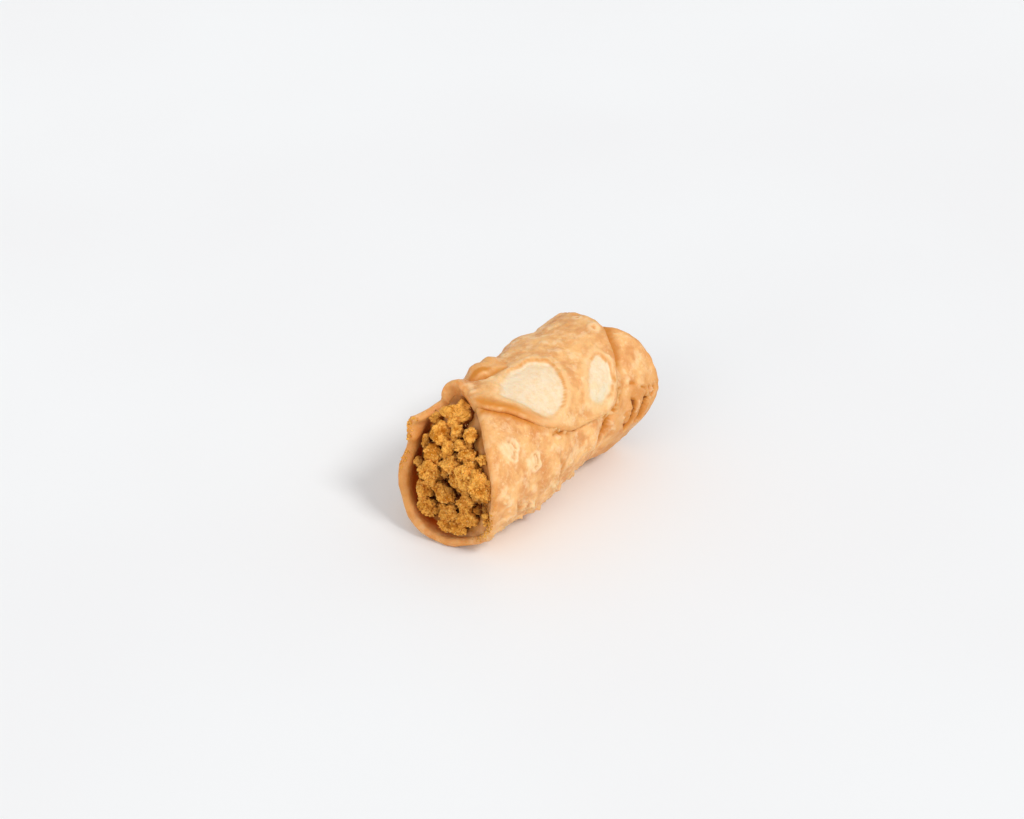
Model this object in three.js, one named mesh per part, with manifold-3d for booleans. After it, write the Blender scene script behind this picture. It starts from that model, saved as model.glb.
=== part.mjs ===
// A cannolo: a disc of fried wheat dough rolled into a tube with its flap sealed on top, filled
// right through with caramel cream and finished at both ends with a heap of biscuit crumbs.
// Millimetres, +Z up. The tube lies along X with its front end at -X and the flap's tip on the -Y
// side. A place on the dough is a pair: x along the tube, and the wrap, an angle in degrees that
// runs once and a quarter round the tube. Wrap 0 is the top, 90 the -Y side, 180 the bottom and
// 270 the +Y side; from 348 on the dough lies on its own beginning.

import * as THREE from "three";
import { mergeVertices } from "three/addons/utils/BufferGeometryUtils.js";
import Module from "manifold-3d";

const wasm = await Module();
wasm.setup();

// Driving dimensions
const TUBE_RADIUS = 22; // outside of the first layer of dough
const DOUGH = 2.6; // thickness of the dough
const SEAM_SINK = 0.4; // how far the flap is sealed into the layer below it
const AXIS_HEIGHT = 21.3; // a little less than the radius: the underside is flattened
const GAP = 0.3; // between cream and crumbs
const TIP_BLUNT = 0.25; // the flap's tip ends this much before it would be sharp
const ORIGIN = new THREE.Vector3(1.54, 0.3, 0); // the footprint's middle, in the tube's frame

// Wrap of the dough's beginning, of the cut between its two lofts, and of the flap's tip
const WRAP_START = -12;
const WRAP_JOIN = 250;
const WRAP_TIP = 437;

// The dough's front edge and back edge, as pairs of wrap and x
const FRONT_EDGE = [
  [-12, -20],
  [0, -23.8],
  [20, -30.4],
  [44, -36.6],
  [66, -40.4],
  [90, -42],
  [115, -41],
  [150, -39.4],
  [180, -41.8],
  [213, -42.4],
  [244, -39.8],
  [270, -36.2],
  [284, -32.9],
  [294, -34.6],
  [303, -32.4],
  [308, -31.8],
  [311, -27.6],
  [315, -22],
  [321, -21.6],
  [328, -20.4],
  [336, -20.4],
  [348, -22],
  [360, -24.6],
  [372, -24],
  [387, -20],
  [400, -16],
  [414, -11],
  [424, -5.5],
  [430, -1],
  [434, 7.5],
  [437, 14.5],
];
const BACK_EDGE = [
  [-12, 35],
  [11, 38.6],
  [34, 42.8],
  [60, 45],
  [82, 45.6],
  [95, 45.2],
  [106, 42.6],
  [125, 37.6],
  [160, 36.5],
  [200, 38.5],
  [240, 39.6],
  [280, 39.4],
  [316, 38.6],
  [340, 37.6],
  [360, 37.2],
  [373, 35.8],
  [390, 31.8],
  [405, 28.8],
  [418, 25.5],
  [430, 23],
  [437, 19.5],
];

// Raised blisters: middle, half length along x, half width round the tube, turn and height
const BLISTERS = [
  { x: -5.4, wrap: 332, long: 9, wide: 8, turn: 0, height: 2.9 },
  { x: 17.4, wrap: 322, long: 8.4, wide: 7, turn: 0, height: 1.6 },
  { x: 33.2, wrap: 370, long: 3, wide: 3, turn: 0, height: 0.6 },
  { x: 8, wrap: 92, long: 5.5, wide: 7, turn: 15, height: 1.1 },
  { x: 20.4, wrap: 94, long: 5.6, wide: 9, turn: -8, height: 1.6 },
  { x: -33, wrap: 108, long: 7, wide: 8, turn: 0, height: 0.7 },
  { x: -12, wrap: 232, long: 9, wide: 8, turn: 20, height: 1.5 },
  { x: 17, wrap: 262, long: 8, wide: 7, turn: -15, height: 1.3 },
  { x: 24, wrap: 214, long: 6, wide: 6, turn: 0, height: 1 },
  { x: -26, wrap: 262, long: 5, wide: 6, turn: 0, height: 0.9 },
];

// Blisters that burst and left a small hollow with a raised edge: middle, radius and depth
const CRATERS = [
  { x: -28.2, wrap: 50, radius: 3.1, depth: 0.7 },
  { x: -20.9, wrap: 71, radius: 2.5, depth: 0.7 },
  { x: 2, wrap: 283, radius: 3.2, depth: 0.6 },
];

// Pale sunken patches of the flap where a large blister lifted off: outlines as x and wrap
const PATCHES = [
  {
    depth: 0.95,
    outline: [
      [-16.8, 371],
      [-14.3, 386],
      [-11.8, 403],
      [-7, 409],
      [-0.7, 404],
      [4.3, 391],
      [6.1, 375],
      [3.3, 364],
      [-5, 360],
      [-12, 363],
    ],
  },
  {
    depth: 0.7,
    outline: [
      [18.2, 395],
      [13.3, 404],
      [11.3, 414],
      [12.2, 422],
      [15.1, 425],
      [18.9, 421],
      [22.1, 415],
      [24.2, 402],
      [22.5, 393],
    ],
  },
];

// Creases and gashes: both ends as x and wrap, half width and depth
const CREASES = [
  { from: [16.6, 88], to: [12.8, 108], half: 1.6, depth: 1.7 },
  { from: [28.6, 82], to: [26, 106], half: 1.7, depth: 1.7 },
  { from: [37.6, 92], to: [33.4, 109], half: 1.5, depth: 1.7 },
  { from: [-30, 118], to: [-30.8, 97], half: 1.3, depth: 1 },
  { from: [-8.4, 118], to: [-9.4, 92], half: 1.7, depth: 1.3 },
  { from: [-14.5, 340], to: [-11.5, 347], half: 1.2, depth: 1.1 },
  { from: [-11.5, 347], to: [-3.5, 350], half: 1.2, depth: 1.1 },
  { from: [3, 303], to: [15, 306], half: 1.8, depth: 0.9 },
];

// The tube is drawn in on its lower -Y side, behind the middle and a little at both ends
const WAIST = { x: 10, wrap: 128, reach: 12.5, depth: 2 };
const FRONT_TUCK = { from: -40, to: -10, depth: 1.6 };
const BACK_TUCK = { from: 20, to: 40, depth: 0.5 };

// Slow swells of the dough, which fade out over the flattened underside: turns in radians
const SWELLS = [
  { height: 0.25, along: 0.3, around: 3 },
  { height: 0.2, along: -0.2, around: 5 },
];
const FLAT_SPAN = { from: 12, to: 40 }; // degrees to either side of the bottom

// Wraps over which the dough climbs onto its own beginning, and the hollow steps back down
const LIFT_SPAN = { from: 292, to: 336 };
const SEALED_TIP = { from: 396, to: 424, lower: 1.4 }; // wraps over which the flap thins to its tip
const HOLLOW_STEP = { from: 330, to: 342 };

// Where the dough's front edge is turned outwards: wrap of its middle, half span and flare
const FLARES = [
  { wrap: 331.5, span: 17.4, reach: 6.2, out: 2.6 },
  { wrap: 303.5, span: 8.4, reach: 6, out: 1.9 },
];

// The heap of crumbs at each end: x of its surface in the middle and, by angle, at the dough
const FRONT_HEAP = {
  middle: -39.2,
  edge: [
    [0, -27.5],
    [30, -33],
    [60, -38.5],
    [90, -40.3],
    [130, -40.2],
    [180, -41],
    [215, -40],
    [250, -36.5],
    [280, -32.5],
    [310, -29],
    [340, -24],
    [360, -27.5],
  ],
};
const BACK_HEAP = {
  middle: 39,
  edge: [
    [0, 34.5],
    [40, 39],
    [75, 42],
    [95, 41],
    [125, 34.5],
    [180, 34.5],
    [240, 37],
    [290, 36.5],
    [335, 34.5],
    [360, 34.5],
  ],
};
const CREAM_DEPTH = 4.2; // cream behind the heap's surface in the middle
const CREAM_RISE = 2.2; // how much nearer it comes at the dough
const HOLLOW_RADIUS = TUBE_RADIUS - DOUGH;
const CREAM_GAP = 1.1; // between cream and dough, more than the gap because the dough swells
const CORE_DEPTH = 2.6; // top of the heap's core behind its surface
const HEAP_RADIUS = 15; // of the heap's core
const HEAP_LEAN = 0.1; // how much further it reaches on its high side, as a share
const HEAP_TOP = 340; // the angle it reaches furthest towards
const LUMP_REACH = 20; // more than any lump stands out
const LUMP_DEPTH = 0.4; // depth of a lump as a share of its width and height together
const LUMP_SINK = 0.2; // how far its middle lies under the heap's surface, as a share of its depth
const LUMP_UNEVEN = [0.85, 1.18]; // its radius varies between these shares
const SMALL_LUMP = 5.3; // lumps up to this size have few sides

// The lumps that show on each heap: middle of each across the tube, and its size
const FRONT_LUMPS = [
  { y: 5.5, z: 38.2, wide: 10.7, tall: 9.3 },
  { y: 8.8, z: 32.8, wide: 7.5, tall: 8.2 },
  { y: 2.2, z: 35.6, wide: 4.8, tall: 5.2 },
  { y: -3.9, z: 37.2, wide: 4.6, tall: 5.5 },
  { y: -1.6, z: 33.6, wide: 4.8, tall: 4.3 },
  { y: 2.8, z: 31.2, wide: 5, tall: 6.8 },
  { y: 8, z: 28, wide: 6.6, tall: 5.7 },
  { y: -6, z: 32.6, wide: 5.9, tall: 5 },
  { y: 13.6, z: 35, wide: 5.2, tall: 3.4 },
  { y: 0, z: 28, wide: 6.2, tall: 5.9 },
  { y: -7.6, z: 27.2, wide: 7.3, tall: 9.8 },
  { y: -12.4, z: 25.6, wide: 8.4, tall: 10.9 },
  { y: 8.4, z: 22.4, wide: 8.7, tall: 8.9 },
  { y: 1.6, z: 17, wide: 7.1, tall: 5.2 },
  { y: -2.4, z: 23.2, wide: 3.9, tall: 4.3 },
  { y: 10.4, z: 15.4, wide: 6.2, tall: 6.2 },
  { y: 9.2, z: 10.4, wide: 6.2, tall: 6.8 },
  { y: -6.6, z: 17.2, wide: 6.6, tall: 5.7 },
  { y: -7, z: 12.2, wide: 7.5, tall: 7.1 },
  { y: 0.6, z: 10.8, wide: 6.4, tall: 5.7 },
  { y: 1.6, z: 6.6, wide: 5.7, tall: 5 },
  { y: -3.6, z: 7.4, wide: 5.7, tall: 5.2 },
  { y: -11.6, z: 33.4, wide: 3.4, tall: 3.2 },
];
const BACK_LUMPS = [
  { y: -7, z: 32, wide: 9, tall: 8 },
  { y: 5, z: 34, wide: 8, tall: 7 },
  { y: 12, z: 25, wide: 7, tall: 9 },
  { y: 1, z: 24, wide: 9, tall: 8 },
  { y: -11, z: 21, wide: 8, tall: 9 },
  { y: 9, z: 13, wide: 8, tall: 8 },
  { y: -3, z: 13, wide: 8, tall: 9 },
  { y: -14, z: 28, wide: 4.5, tall: 4 },
  { y: 4, z: 7, wide: 5, tall: 4 },
  { y: -10, z: 10, wide: 4, tall: 4 },
];

// Mesh steps
const OUTER_ROWS = 32; // rows along the outside of the dough
const INNER_ROWS = 8; // rows along its inside
const EDGE_ANGLES = [45, 0, -45]; // points round an edge of the dough
const SPANS = [
  { from: WRAP_START, to: WRAP_JOIN, step: 5 },
  { from: WRAP_JOIN, to: 296, step: 5 },
  { from: 296, to: 324, step: 2 },
  { from: 324, to: 360, step: 3 },
  { from: 360, to: 420, step: 4 },
  { from: 420, to: WRAP_TIP, step: 1.7 },
];
const CREAM_MESH = { sides: 28, rings: 3, rows: 9 }; // rings on each end, rows along the length
const CORE_MESH = { sides: 15, rings: 2, rows: 1 };
const WALL_MESH = { sides: 24, rings: 1, rows: 5 };

const RADIANS = Math.PI / 180;

/** A repeatable stream of numbers from 0 to 1. */
function randomFrom(seed) {
  let state = seed;
  return () => {
    state = (state * 16807) % 2147483647;
    return state / 2147483647;
  };
}

const ramp = THREE.MathUtils.smoothstep;
const mmPerDegree = TUBE_RADIUS * RADIANS;

/** A smooth function through [place, value] pairs in rising order of place. */
function throughPairs(pairs) {
  const places = Float32Array.from(pairs, (pair) => pair[0]);
  const values = Float32Array.from(pairs, (pair) => pair[1]);
  const cubic = new THREE.CubicInterpolant(places, values, 1);
  return (place) => cubic.evaluate(THREE.MathUtils.clamp(place, places[0], places.at(-1)))[0];
}

const frontEdge = throughPairs(FRONT_EDGE);
const backEdge = throughPairs(BACK_EDGE);

/** Distance in mm from a place on the dough to the line between two others. */
function distanceToLine(x, wrap, from, to) {
  const along = new THREE.Vector2(to[0] - from[0], (to[1] - from[1]) * mmPerDegree);
  const place = new THREE.Vector2(x - from[0], (wrap - from[1]) * mmPerDegree);
  const share = THREE.MathUtils.clamp(place.dot(along) / along.lengthSq(), 0, 1);
  return place.addScaledVector(along, -share).length();
}

/** Distance in mm from a place on the dough to a closed outline, negative inside it. */
function distanceToOutline(x, wrap, outline) {
  let nearest = Infinity;
  let inside = false;
  outline.forEach((from, i) => {
    const to = outline[(i + 1) % outline.length];
    nearest = Math.min(nearest, distanceToLine(x, wrap, from, to));
    const crosses = from[1] > wrap !== to[1] > wrap;
    if (crosses && x < from[0] + ((to[0] - from[0]) * (wrap - from[1])) / (to[1] - from[1])) {
      inside = !inside;
    }
  });
  return inside ? -nearest : nearest;
}

/** How high the outside of the dough stands over its smooth form at a place. */
function relief(x, wrap) {
  let height = 0;
  for (const blister of BLISTERS) {
    const place = new THREE.Vector2(x - blister.x, (wrap - blister.wrap) * mmPerDegree);
    place.rotateAround(new THREE.Vector2(), -blister.turn * RADIANS);
    const share = Math.hypot(place.x / blister.long, place.y / blister.wide);
    height += blister.height * (1 - ramp(share, 0.15, 1));
  }
  for (const crater of CRATERS) {
    const share = Math.hypot(x - crater.x, (wrap - crater.wrap) * mmPerDegree) / crater.radius;
    height -= crater.depth * (1 - ramp(share, 0.35, 0.8));
    height += 0.5 * crater.depth * ramp(share, 0.6, 0.95) * (1 - ramp(share, 1, 1.6));
  }
  for (const patch of PATCHES) {
    const out = distanceToOutline(x, wrap, patch.outline);
    height -= patch.depth * (1 - ramp(out, -1.5, 0.2));
    height += 0.35 * patch.depth * ramp(out, -0.6, 0.8) * (1 - ramp(out, 1, 4));
  }
  for (const crease of CREASES) {
    const out = distanceToLine(x, wrap, crease.from, crease.to);
    height -= crease.depth * (1 - ramp(out, 0, 1.6 * crease.half));
  }
  return height;
}

/** Radius of the tube's smooth outside, with its waist and its slight swell. */
function smoothRadius(x, wrap) {
  const swell = SWELLS.reduce(
    (sum, { height, along, around }) =>
      sum + height * Math.sin(along * x + around * wrap * RADIANS),
    0,
  );
  const offBottom = ramp(Math.abs(wrap - 180), FLAT_SPAN.from, FLAT_SPAN.to);
  const lowSide = Math.max(0, Math.cos((wrap - WAIST.wrap) * RADIANS)) ** 1.5;
  const waist = WAIST.depth * Math.exp(-(((x - WAIST.x) / WAIST.reach) ** 2));
  const frontTuck = FRONT_TUCK.depth * (1 - ramp(x, FRONT_TUCK.from, FRONT_TUCK.to));
  const backTuck = BACK_TUCK.depth * ramp(x, BACK_TUCK.from, BACK_TUCK.to);
  return TUBE_RADIUS - (waist + frontTuck + backTuck) * lowSide + swell * offBottom;
}

/** How far the dough is lifted over the smooth outside by its own beginning under it. */
function lift(wrap) {
  const sealed = SEALED_TIP.lower * ramp(wrap, SEALED_TIP.from, SEALED_TIP.to);
  return (DOUGH - SEAM_SINK) * ramp(wrap, LIFT_SPAN.from, LIFT_SPAN.to) - sealed;
}

/** How far the front edge is turned out at a place. */
function flare(x, wrap) {
  return FLARES.reduce((sum, { wrap: middle, span, reach, out }) => {
    const round = 1 - ramp(Math.abs(wrap - middle), 0.2 * span, span);
    return sum + out * round * (1 - ramp(x - frontEdge(wrap), 0, reach));
  }, 0);
}

/** The point of the tube's frame at a place, `radius` from the axis and never under the table. */
function onTube(x, wrap, radius) {
  const angle = wrap * RADIANS;
  const height = AXIS_HEIGHT + radius * Math.cos(angle);
  return new THREE.Vector3(x, -radius * Math.sin(angle), Math.max(height, 0)).sub(ORIGIN);
}

/** The closed section of the dough at one wrap: outside, back edge, inside and front edge. */
function doughSection(wrap) {
  const front = frontEdge(wrap);
  const back = backEdge(wrap);
  const toEnd = Math.min(wrap - WRAP_START, WRAP_TIP - wrap) * mmPerDegree;
  const rounding = Math.sqrt(1 - (1 - Math.min(1, (toEnd + TIP_BLUNT) / DOUGH)) ** 2);
  const thickness = DOUGH * rounding;
  const edge = Math.min(thickness / 2, 0.4 * (back - front));
  const base = (x) => smoothRadius(x, wrap) + lift(wrap) + flare(x, wrap) - DOUGH;
  const section = [];
  for (let i = 0; i < OUTER_ROWS; i++) {
    const x = THREE.MathUtils.lerp(front + edge, back - edge, i / (OUTER_ROWS - 1));
    section.push(onTube(x, wrap, base(x) + thickness + relief(x, wrap)));
  }
  for (const angle of EDGE_ANGLES) {
    const out = 0.5 + 0.5 * Math.sin(angle * RADIANS);
    const x = back - edge + edge * Math.cos(angle * RADIANS);
    section.push(onTube(x, wrap, base(x) + thickness * out));
  }
  for (let i = 0; i < INNER_ROWS; i++) {
    const x = THREE.MathUtils.lerp(back - edge, front + edge, i / (INNER_ROWS - 1));
    section.push(onTube(x, wrap, base(x)));
  }
  for (const angle of [...EDGE_ANGLES].reverse()) {
    const out = 0.5 + 0.5 * Math.sin(angle * RADIANS);
    const x = front + edge - edge * Math.cos(angle * RADIANS);
    section.push(onTube(x, wrap, base(x) + thickness * out));
  }
  return section;
}

/** A closed mesh's manifold-3d solid. */
function solidOf(points, triangles) {
  const geometry = new THREE.BufferGeometry().setFromPoints(points);
  geometry.setIndex(triangles);
  const merged = mergeVertices(geometry, 1e-4);
  const vertProperties = merged.attributes.position.array;
  const triVerts = new Uint32Array(merged.index.array);
  return new wasm.Manifold(new wasm.Mesh({ numProp: 3, vertProperties, triVerts }));
}

/** The largest body of a solid: hollows that joining sealed are filled, and loose scraps dropped. */
function largestBody(solid) {
  return solid.decompose().reduce((most, body) => (body.volume() > most.volume() ? body : most));
}

/** Triangles that close one section, facing the loft's start or its end. */
function capOf(section, first, atStart) {
  const flat = section.map((p) => new THREE.Vector2(p.x, Math.hypot(p.y, p.z - AXIS_HEIGHT)));
  const turned = THREE.ShapeUtils.area(flat) > 0 === atStart;
  const faces = THREE.ShapeUtils.triangulateShape(flat, []);
  return faces.flatMap(([a, b, c]) => (turned ? [a, b, c] : [a, c, b]).map((i) => first + i));
}

/** A solid through a row of closed sections of the same number of points. */
function loft(sections) {
  const count = sections[0].length;
  const triangles = [];
  for (let s = 0; s + 1 < sections.length; s++) {
    for (let i = 0; i < count; i++) {
      const a = s * count + i;
      const b = s * count + ((i + 1) % count);
      triangles.push(a, a + count, b, b, a + count, b + count);
    }
  }
  triangles.push(...capOf(sections[0], 0, true));
  triangles.push(...capOf(sections.at(-1), (sections.length - 1) * count, false));
  return solidOf(sections.flat(), triangles);
}

/** The wraps from the start of the first span to the end of the last, each once. */
function wrapsOf(spans) {
  const wraps = [spans[0].from];
  for (const { from, to, step } of spans) {
    const steps = Math.round((to - from) / step);
    for (let i = 1; i <= steps; i++) wraps.push(THREE.MathUtils.lerp(from, to, i / steps));
  }
  return wraps;
}

const underLayer = loft(wrapsOf(SPANS.slice(0, 1)).map(doughSection));
const overLayer = loft(wrapsOf(SPANS.slice(1)).map(doughSection));
const shell = largestBody(underLayer.add(overLayer));

/** Radius of the hollow inside the dough at an angle from 0 to 360. */
function cavityRadius(x, wrap) {
  const lifted = lift(wrap) * (1 - ramp(wrap, HOLLOW_STEP.from, HOLLOW_STEP.to));
  return smoothRadius(x, wrap) + lifted + flare(x, wrap) - DOUGH;
}

/** The end of the food: its x as a function of the angle and the distance from the axis. */
function endSurface({ middle, edge }) {
  const edgeX = throughPairs(edge);
  return (angle, out) => THREE.MathUtils.lerp(middle, edgeX(angle), (out / HOLLOW_RADIUS) ** 2);
}

/** The end of the cream behind a heap, nearer to the heap's surface beside the dough. */
function creamSurface(end, outward) {
  const surface = endSurface(end);
  return (angle, out) => {
    const rise = CREAM_RISE * ramp(out / HOLLOW_RADIUS, 0.6, 0.9);
    return surface(angle, out) - outward * (CREAM_DEPTH - rise);
  };
}

/** A plug between two end surfaces, with its radius given by x and angle. */
function plug(startX, endX, radiusAt, { sides, rings, rows }) {
  const points = [];
  const triangles = [];
  const angles = Array.from({ length: sides }, (_, i) => (360 * i) / sides);
  const addEndRing = (endAt, share) => {
    for (const angle of angles) {
      const out = share * radiusAt(endAt(angle, HOLLOW_RADIUS), angle);
      points.push(onTube(endAt(angle, out), angle, out));
    }
  };
  const shares = Array.from({ length: rings }, (_, i) => (i + 1) / rings);
  points.push(onTube(startX(0, 0), 0, 0));
  for (const share of shares) addEndRing(startX, share);
  for (let i = 1; i < rows; i++) {
    for (const angle of angles) {
      const ends = [startX, endX].map((endAt) => endAt(angle, HOLLOW_RADIUS));
      const x = THREE.MathUtils.lerp(...ends, i / rows);
      points.push(onTube(x, angle, radiusAt(x, angle)));
    }
  }
  for (const share of [...shares].reverse()) addEndRing(endX, share);
  points.push(onTube(endX(0, 0), 0, 0));
  const last = points.length - 1;
  for (let i = 0; i < sides; i++) {
    const next = (i + 1) % sides;
    triangles.push(0, 1 + next, 1 + i);
    for (let ring = 0; ring + 2 < 2 * rings + rows; ring++) {
      const a = 1 + ring * sides + i;
      const b = 1 + ring * sides + next;
      triangles.push(a, b, a + sides, b, b + sides, a + sides);
    }
    triangles.push(last, last - sides + i, last - sides + next);
  }
  return solidOf(points, triangles);
}

/** A lump of biscuit crumb: an uneven ball of the given size. */
function lump(center, size, random) {
  const ball = new THREE.IcosahedronGeometry(0.5, size.x > SMALL_LUMP ? 1 : 0);
  ball.deleteAttribute("normal");
  ball.deleteAttribute("uv");
  const merged = mergeVertices(ball, 1e-4);
  const place = merged.attributes.position;
  const turn = new THREE.Euler(random() * Math.PI, random() * Math.PI, random() * Math.PI);
  const points = Array.from({ length: place.count }, (_, i) => {
    const point = new THREE.Vector3().fromBufferAttribute(place, i).applyEuler(turn);
    const uneven = THREE.MathUtils.lerp(...LUMP_UNEVEN, random());
    return point.multiplyScalar(uneven).multiply(size).add(center);
  });
  return solidOf(points, Array.from(merged.index.array));
}

/** Radius of the cream, and of the crumbs, which keep a little further in. */
const creamRadius = (x, angle) => cavityRadius(x, angle) - CREAM_GAP;
const crumbRadius = (x, angle) => creamRadius(x, angle) - GAP;

/** A heap of crumbs at one end: a low core with the larger lumps on it, kept inside the dough. */
function heap({ end, outward, lumps, seed }) {
  const random = randomFrom(seed);
  const surface = endSurface(end);
  const creamEnd = creamSurface(end, outward);
  const inCream = (angle, out) => creamEnd(angle, out) - outward;
  const coreTop = (angle, out) => surface(angle, out) - outward * CORE_DEPTH;
  const beyond = (angle, out) => surface(angle, out) + outward * LUMP_REACH;
  const coreRadius = (x, angle) =>
    HEAP_RADIUS * (1 + HEAP_LEAN * Math.cos((angle - HEAP_TOP) * RADIANS));
  const between = (low, high) => (outward < 0 ? [high, low] : [low, high]);
  let body = plug(...between(inCream, coreTop), coreRadius, CORE_MESH);
  for (const { y, z, wide, tall } of lumps) {
    const angle = THREE.MathUtils.euclideanModulo(Math.atan2(-y, z - AXIS_HEIGHT) / RADIANS, 360);
    const deep = LUMP_DEPTH * (wide + tall);
    const x = surface(angle, Math.hypot(y, z - AXIS_HEIGHT)) - outward * LUMP_SINK * deep;
    const middle = new THREE.Vector3(x, y, z).sub(ORIGIN);
    body = body.add(lump(middle, new THREE.Vector3(deep, wide, tall), random));
  }
  const clear = body.intersect(plug(...between(inCream, beyond), crumbRadius, WALL_MESH));
  return largestBody(clear.subtract(cream.translate(outward * GAP, 0, 0)));
}

const cream = plug(
  creamSurface(FRONT_HEAP, -1),
  creamSurface(BACK_HEAP, 1),
  creamRadius,
  CREAM_MESH,
);
const frontCrumbs = heap({ end: FRONT_HEAP, outward: -1, lumps: FRONT_LUMPS, seed: 7 });
const backCrumbs = heap({ end: BACK_HEAP, outward: 1, lumps: BACK_LUMPS, seed: 11 });

/** A named mesh of a solid with its finish. */
function meshOf(name, solid, color, roughness) {
  const { vertProperties, triVerts, numProp } = solid.getMesh();
  const geometry = new THREE.BufferGeometry();
  geometry.setAttribute("position", new THREE.BufferAttribute(vertProperties, numProp));
  geometry.setIndex(new THREE.BufferAttribute(triVerts, 1));
  geometry.computeVertexNormals();
  const material = new THREE.MeshStandardMaterial({ color, roughness, metalness: 0 });
  const mesh = new THREE.Mesh(geometry, material);
  mesh.name = name;
  return mesh;
}

const cannolo = new THREE.Group();
cannolo.add(meshOf("shell", shell, 0xe0a263, 0.45));
cannolo.add(meshOf("filling", cream, 0xc17d3c, 0.35));
cannolo.add(meshOf("crumbs_front", frontCrumbs, 0xcf8a3a, 0.9));
cannolo.add(meshOf("crumbs_back", backCrumbs, 0xcf8a3a, 0.9));

export default cannolo;
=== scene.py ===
"""A cannolo: fried wheat dough rolled into a tube, caramel cream inside, biscuit crumbs at its ends.

Lengths are millimetres until a mesh is finished, and metres in the scene. The tube lies along X
with its front end at -X. A place on the dough is a pair: x along the tube, and the wrap, an angle in
degrees that runs once and a quarter round the tube. Wrap 0 is the top, 90 the -Y side, 180 the
bottom and 270 the +Y side; from 348 on the dough lies on its own beginning.
"""

from __future__ import annotations

import logging
import math
import random
from collections.abc import Sequence
from dataclasses import dataclass, replace
from enum import Enum

import bmesh
import bpy
import numpy as np
from mathutils import Euler, Matrix, Vector, noise

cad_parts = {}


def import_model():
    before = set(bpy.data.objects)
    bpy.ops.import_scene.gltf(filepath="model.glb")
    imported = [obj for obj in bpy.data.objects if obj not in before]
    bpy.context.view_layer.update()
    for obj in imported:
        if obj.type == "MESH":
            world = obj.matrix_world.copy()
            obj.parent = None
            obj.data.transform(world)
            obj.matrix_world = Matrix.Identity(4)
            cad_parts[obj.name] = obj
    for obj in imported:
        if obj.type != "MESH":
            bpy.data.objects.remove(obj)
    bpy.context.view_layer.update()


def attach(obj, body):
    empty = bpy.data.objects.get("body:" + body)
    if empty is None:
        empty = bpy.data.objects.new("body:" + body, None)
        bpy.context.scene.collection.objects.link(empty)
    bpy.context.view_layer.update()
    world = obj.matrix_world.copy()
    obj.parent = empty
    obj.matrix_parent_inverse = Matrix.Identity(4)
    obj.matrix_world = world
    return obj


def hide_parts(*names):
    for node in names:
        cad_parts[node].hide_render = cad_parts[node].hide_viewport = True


log = logging.getLogger("cannolo")

Array = np.ndarray
Stations = tuple[tuple[float, float], ...]
Layers = tuple[tuple[float, float, int], ...]  # height, size and seed of each noise
MM = 0.001
TUBE_RADIUS = 22.0  # outside of the first layer of dough
DOUGH = 2.6  # thickness of the dough
AXIS_HEIGHT = 21.3  # a little less than the radius: the underside is flattened
HOLLOW_RADIUS = TUBE_RADIUS - DOUGH
ORIGIN = np.array([1.54, 0.3, 0.0])  # the footprint's middle, in the tube's frame
MM_PER_DEGREE = math.radians(TUBE_RADIUS)


class Slot(Enum):
    """The material slots of the record."""

    DOUGH = "fried_dough"
    CREAM = "caramel_cream"
    CRUMB = "biscuit_crumb"


# ---- Numbers and curves


def ramp(value: Array | float, zero: float, one: float) -> Array:
    """Changes smoothly from 0 to 1 between two values, and stays level past them.

    Args:
        value: Where the ramp is read.
        zero: Where it is 0.
        one: Where it is 1. With one below zero, the ramp falls.

    Returns:
        The height of the ramp at each value.
    """
    share = np.clip((np.asarray(value, float) - zero) / (one - zero), 0.0, 1.0)
    return share * share * (3.0 - 2.0 * share)


def band(value: Array | float, start: float, full: float, ease: float, end: float) -> Array:
    """Climbs from 0 at start to 1 at full, and falls from 1 at ease to 0 at end."""
    return ramp(value, start, full) * ramp(value, end, ease)


def bulge(share: Array) -> Array:
    """Swells from 0 to 1 and back on the way from 0 to 1, fullest a quarter of the way."""
    return np.sin(math.pi * np.sqrt(np.clip(share, 0.0, 1.0))) ** 2


@dataclass(frozen=True)
class Curve:
    """A smooth line through stations, each a place and a value, in rising order of place."""

    stations: Stations

    def __call__(self, place: Array | float) -> Array:
        """Reads the curve.

        Args:
            place: Where it is read; past the first or last station it stays level.

        Returns:
            The value at each place.
        """
        at, value = (np.array(column, float) for column in zip(*self.stations))
        slope = np.diff(value) / np.diff(at)
        tangent = (np.append(slope[0], slope) + np.append(slope, slope[-1])) / 2
        place = np.clip(np.asarray(place, float), at[0], at[-1])
        i = np.clip(np.searchsorted(at, place, side="right"), 1, len(at) - 1)
        step = at[i] - at[i - 1]
        t = (place - at[i - 1]) / step
        return (
            value[i - 1] * (2 * t**3 - 3 * t**2 + 1)
            + tangent[i - 1] * step * (t**3 - 2 * t**2 + t)
            + value[i] * (3 * t**2 - 2 * t**3)
            + tangent[i] * step * (t**3 - t**2)
        )


def noise_at(points: Array, size: float, seed: int = 0) -> Array:
    """Soft noise from about -1 to 1.

    Args:
        points: Places in mm, one row each.
        size: Width of its lumps in mm.
        seed: Shifts the noise, so that two kinds don't repeat each other.

    Returns:
        The noise at each point.
    """
    shift = Vector((17.3 * seed, -9.1 * seed, 5.7 * seed))
    return np.array([noise.noise(Vector(p) / size + shift) for p in points])


def layered_noise(points: Array, layers: Layers) -> Array:
    """A sum of noises at each point."""
    return sum(height * noise_at(points, size, seed) for height, size, seed in layers)


def grains_at(points: Array, size: float) -> Array:
    """Height of packed round grains: 1 on top of each and 0 or less in the cracks between them.

    Args:
        points: Places in mm, one row each.
        size: Width of a grain in mm.

    Returns:
        The height at each point, as a share.
    """
    nearest = [noise.voronoi(Vector(p) / size)[0][0] for p in points]
    return 1.0 - (np.array(nearest) / 0.62) ** 2


def angle_of(y: Array | float, z: Array | float) -> Array:
    """The angle of a place round the tube's axis: 0 the top and 90 the -Y side, up to 360."""
    return np.degrees(np.arctan2(-np.asarray(y), np.asarray(z) - AXIS_HEIGHT)) % 360.0


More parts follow.
